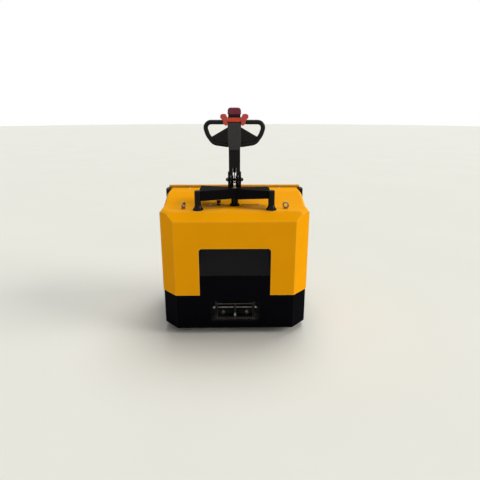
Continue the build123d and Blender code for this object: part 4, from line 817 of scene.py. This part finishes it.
# %% Blades behind the slots
blade = block((154.0, 1.4, 20.0), (0.0, 0.0, 8.0), 0.5, 1)
bpy.ops.object.mode_set(mode="EDIT")
bpy.ops.mesh.select_all(action="SELECT")
bpy.ops.transform.rotate(value=radians(38.0), orient_axis="X", center_override=(0.0, 0.0, 0.0))
bpy.ops.object.mode_set(mode="OBJECT")
print("blade leans to", [round(v, 4) for v in blade.dimensions])
louvre_x, louvre_z, louvre_pitch = 190.0, 420.0, 26.0
blade_places = [((side * louvre_x, 323.5, louvre_z + row * louvre_pitch - 5.0), (0, 0, 1))
                for side in (-1, 1) for row in range(-2, 3)]
fitted("louvre_blades", "yellow_powder_coat", "root", blade, blade_places)

# %% [markdown]
# ## Tyres and wheel hardware
# The load wheels and castors have cast polyurethane treads with round shoulders, which are turned in one run
# of stations that comes back to where it began. The drive wheel has a rubber tyre with blocks. A pattern
# like that could be cut with booleans, but one block that is spun round the axle gives even pitch and clean
# edges.

# %% Polyurethane treads
def tread(rim, outside, half_width, shoulder):
    """Ring with round shoulders, in mm along Z."""
    arc = [(outside - shoulder * (1 - cos(radians(a))), half_width - shoulder * (1 - sin(radians(a))))
           for a in (0, 22.5, 45, 67.5, 90)]
    half = [(outside, 0.0)] + arc + [(rim + 0.6, half_width), (rim, half_width - 0.6)]
    whole = [(r, -z) for r, z in reversed(half)] + half[1:] + [(rim, 0.6 - half_width)]
    return turned(whole, 64, closed=False)


for side in ("left", "right"):
    load_middle, castor_middle = axis[f"load_wheel_{side}_spin"], axis[f"castor_wheel_{side}_spin"]
    piece = fitted(f"load_tread_{side}", "polyurethane_tread", f"load_wheel_{side}",
                   tread(82.0, 100.0, 30.0, 7.0), [(load_middle, (1, 0, 0))])
    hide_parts(f"load_tyre_{side}")
    piece = fitted(f"castor_tread_{side}", "polyurethane_tread", f"castor_wheel_{side}",
                   tread(48.0, 62.5, 17.0, 5.0), [(castor_middle, (1, 0, 0))])
    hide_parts(f"castor_wheel_{side}")
    half = [(6.2, 21.4), (15.0, 21.4), (16.0, 20.4), (16.0, 12.0), (20.0, 9.0), (42.0, 9.0), (44.0, 15.4),
            (48.0, 16.4)]
    centre = turned(half + [(r, -z) for r, z in reversed(half)] + half[:1], 48, closed=False)
    fitted(f"castor_centre_{side}", "battery_polypropylene", f"castor_wheel_{side}",
           centre, [(castor_middle, (1, 0, 0))])

# %% [markdown]
# ## Drive tyre
# The tyre is a ring of rubber with three rows of blocks, and the middle row stands half a pitch further on.
# One block of each row is modelled and spun round the axle in 36 steps.

# %% Drive tyre with its blocks
tyre_half = [(109.0, 0.0), (109.0, 30.0), (107.0, 34.5), (103.0, 37.0), (88.0, 37.3), (87.0, 36.5)]
tyre_ring = [(r, -z) for r, z in reversed(tyre_half)] + tyre_half[1:] + [(87.0, -36.5)]
carcass = turned(tyre_ring, 72, closed=False)
blocks_round = 36
rows = []
for row, turn in ((-24.5, 0.0), (0.0, 5.0), (24.5, 0.0)):
    one = block((14.5, 7.2, 20.0), (0.0, 111.35, row), 1.2, 2)
    bpy.ops.object.mode_set(mode="EDIT")
    bpy.ops.mesh.select_all(action="SELECT")
    bpy.ops.transform.rotate(value=radians(turn), orient_axis="Z", center_override=(0.0, 0.0, 0.0))
    bpy.ops.mesh.spin(steps=blocks_round, dupli=True, angle=2 * pi, center=(0.0, 0.0, 0.0),
                      axis=(0.0, 0.0, 1.0))
    bpy.ops.object.mode_set(mode="OBJECT")
    rows.append(one)
piece = fitted("drive_tyre_tread", "black_tread_rubber", "drive_wheel", joined(carcass, *rows),
               [(axis["drive_wheel_spin"], (1, 0, 0))])
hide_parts("drive_tyre")

# %% [markdown]
# ## Nuts, gearbox bolts and welds
# Five nuts hold the drive wheel, a half ring of bolts closes the gearbox, and nuts sit on the ends of the
# axles. The hanging plates are welded to the chassis: a weld bead is a row of ripples, and here it is a thin
# turned bar whose radius goes up and down.

# %% Nuts, gearbox bolts and weld beads
def on_circle(x, radius, angle):
    """A point round the drive wheel's axle."""
    middle_y, middle_z = axis["drive_wheel_spin"][1:]
    return x, middle_y + radius * cos(radians(angle)), middle_z + radius * sin(radians(angle))


fitted("drive_wheel_nuts", "zinc_plated_steel", "drive_wheel",
       hexagon_bolt(9.0, 9.0, 12.0, 3.0),
       [(on_circle(2.5, 52.0, a), (1, 0, 0), a) for a in range(18, 378, 72)])
gear_bolts = [(on_circle(-95.0, 60.0, a), (-1, 0, 0), a) for a in range(180, 361, 30)]
fitted("gearbox_bolts", "zinc_plated_steel", "drive_unit", hexagon_bolt(5.5, 4.0, 7.0),
       gear_bolts + [(on_circle(-95.0, 35.0, 90.0), (-1, 0, 0), 0.0)])
load_x, load_y, load_z = axis["load_wheel_right_spin"]
fitted("load_axle_nuts", "zinc_plated_steel", "root", hexagon_bolt(15.0, 8.0, 0.0, 4.0),
       [((sign * load_x + end * 51.3, load_y, load_z), (end, 0, 0)) for sign in (-1, 1) for end in (-1, 1)])
for side in ("left", "right"):
    castor_x, castor_y, castor_z = axis[f"castor_wheel_{side}_spin"]
    fitted(f"castor_axle_nuts_{side}", "zinc_plated_steel", f"castor_{side}",
           hexagon_bolt(9.0, 6.0, 11.0, 2.0),
           [((castor_x + end * 27.0, castor_y, castor_z), (end, 0, 0)) for end in (-1, 1)])
ripples = [(3.4 if i % 2 else 4.1, -37.0 + 2.5 * i) for i in range(30)]
bead = turned([(3.6, -38.0)] + ripples + [(3.0, 38.4)], 10)
fitted("bracket_welds", "chassis_enamel", "root", bead,
       [((sign * load_x + x, load_y, 261.0), (0, 1, 0))
        for sign in (-1, 1) for x in (-47.5, -34.5, 34.5, 47.5)])

# %% [markdown]
# ## Last update
# The view layer is brought up to date once more. Dressing must not make it grow.

# %% Update the view layer
bpy.context.view_layer.update()
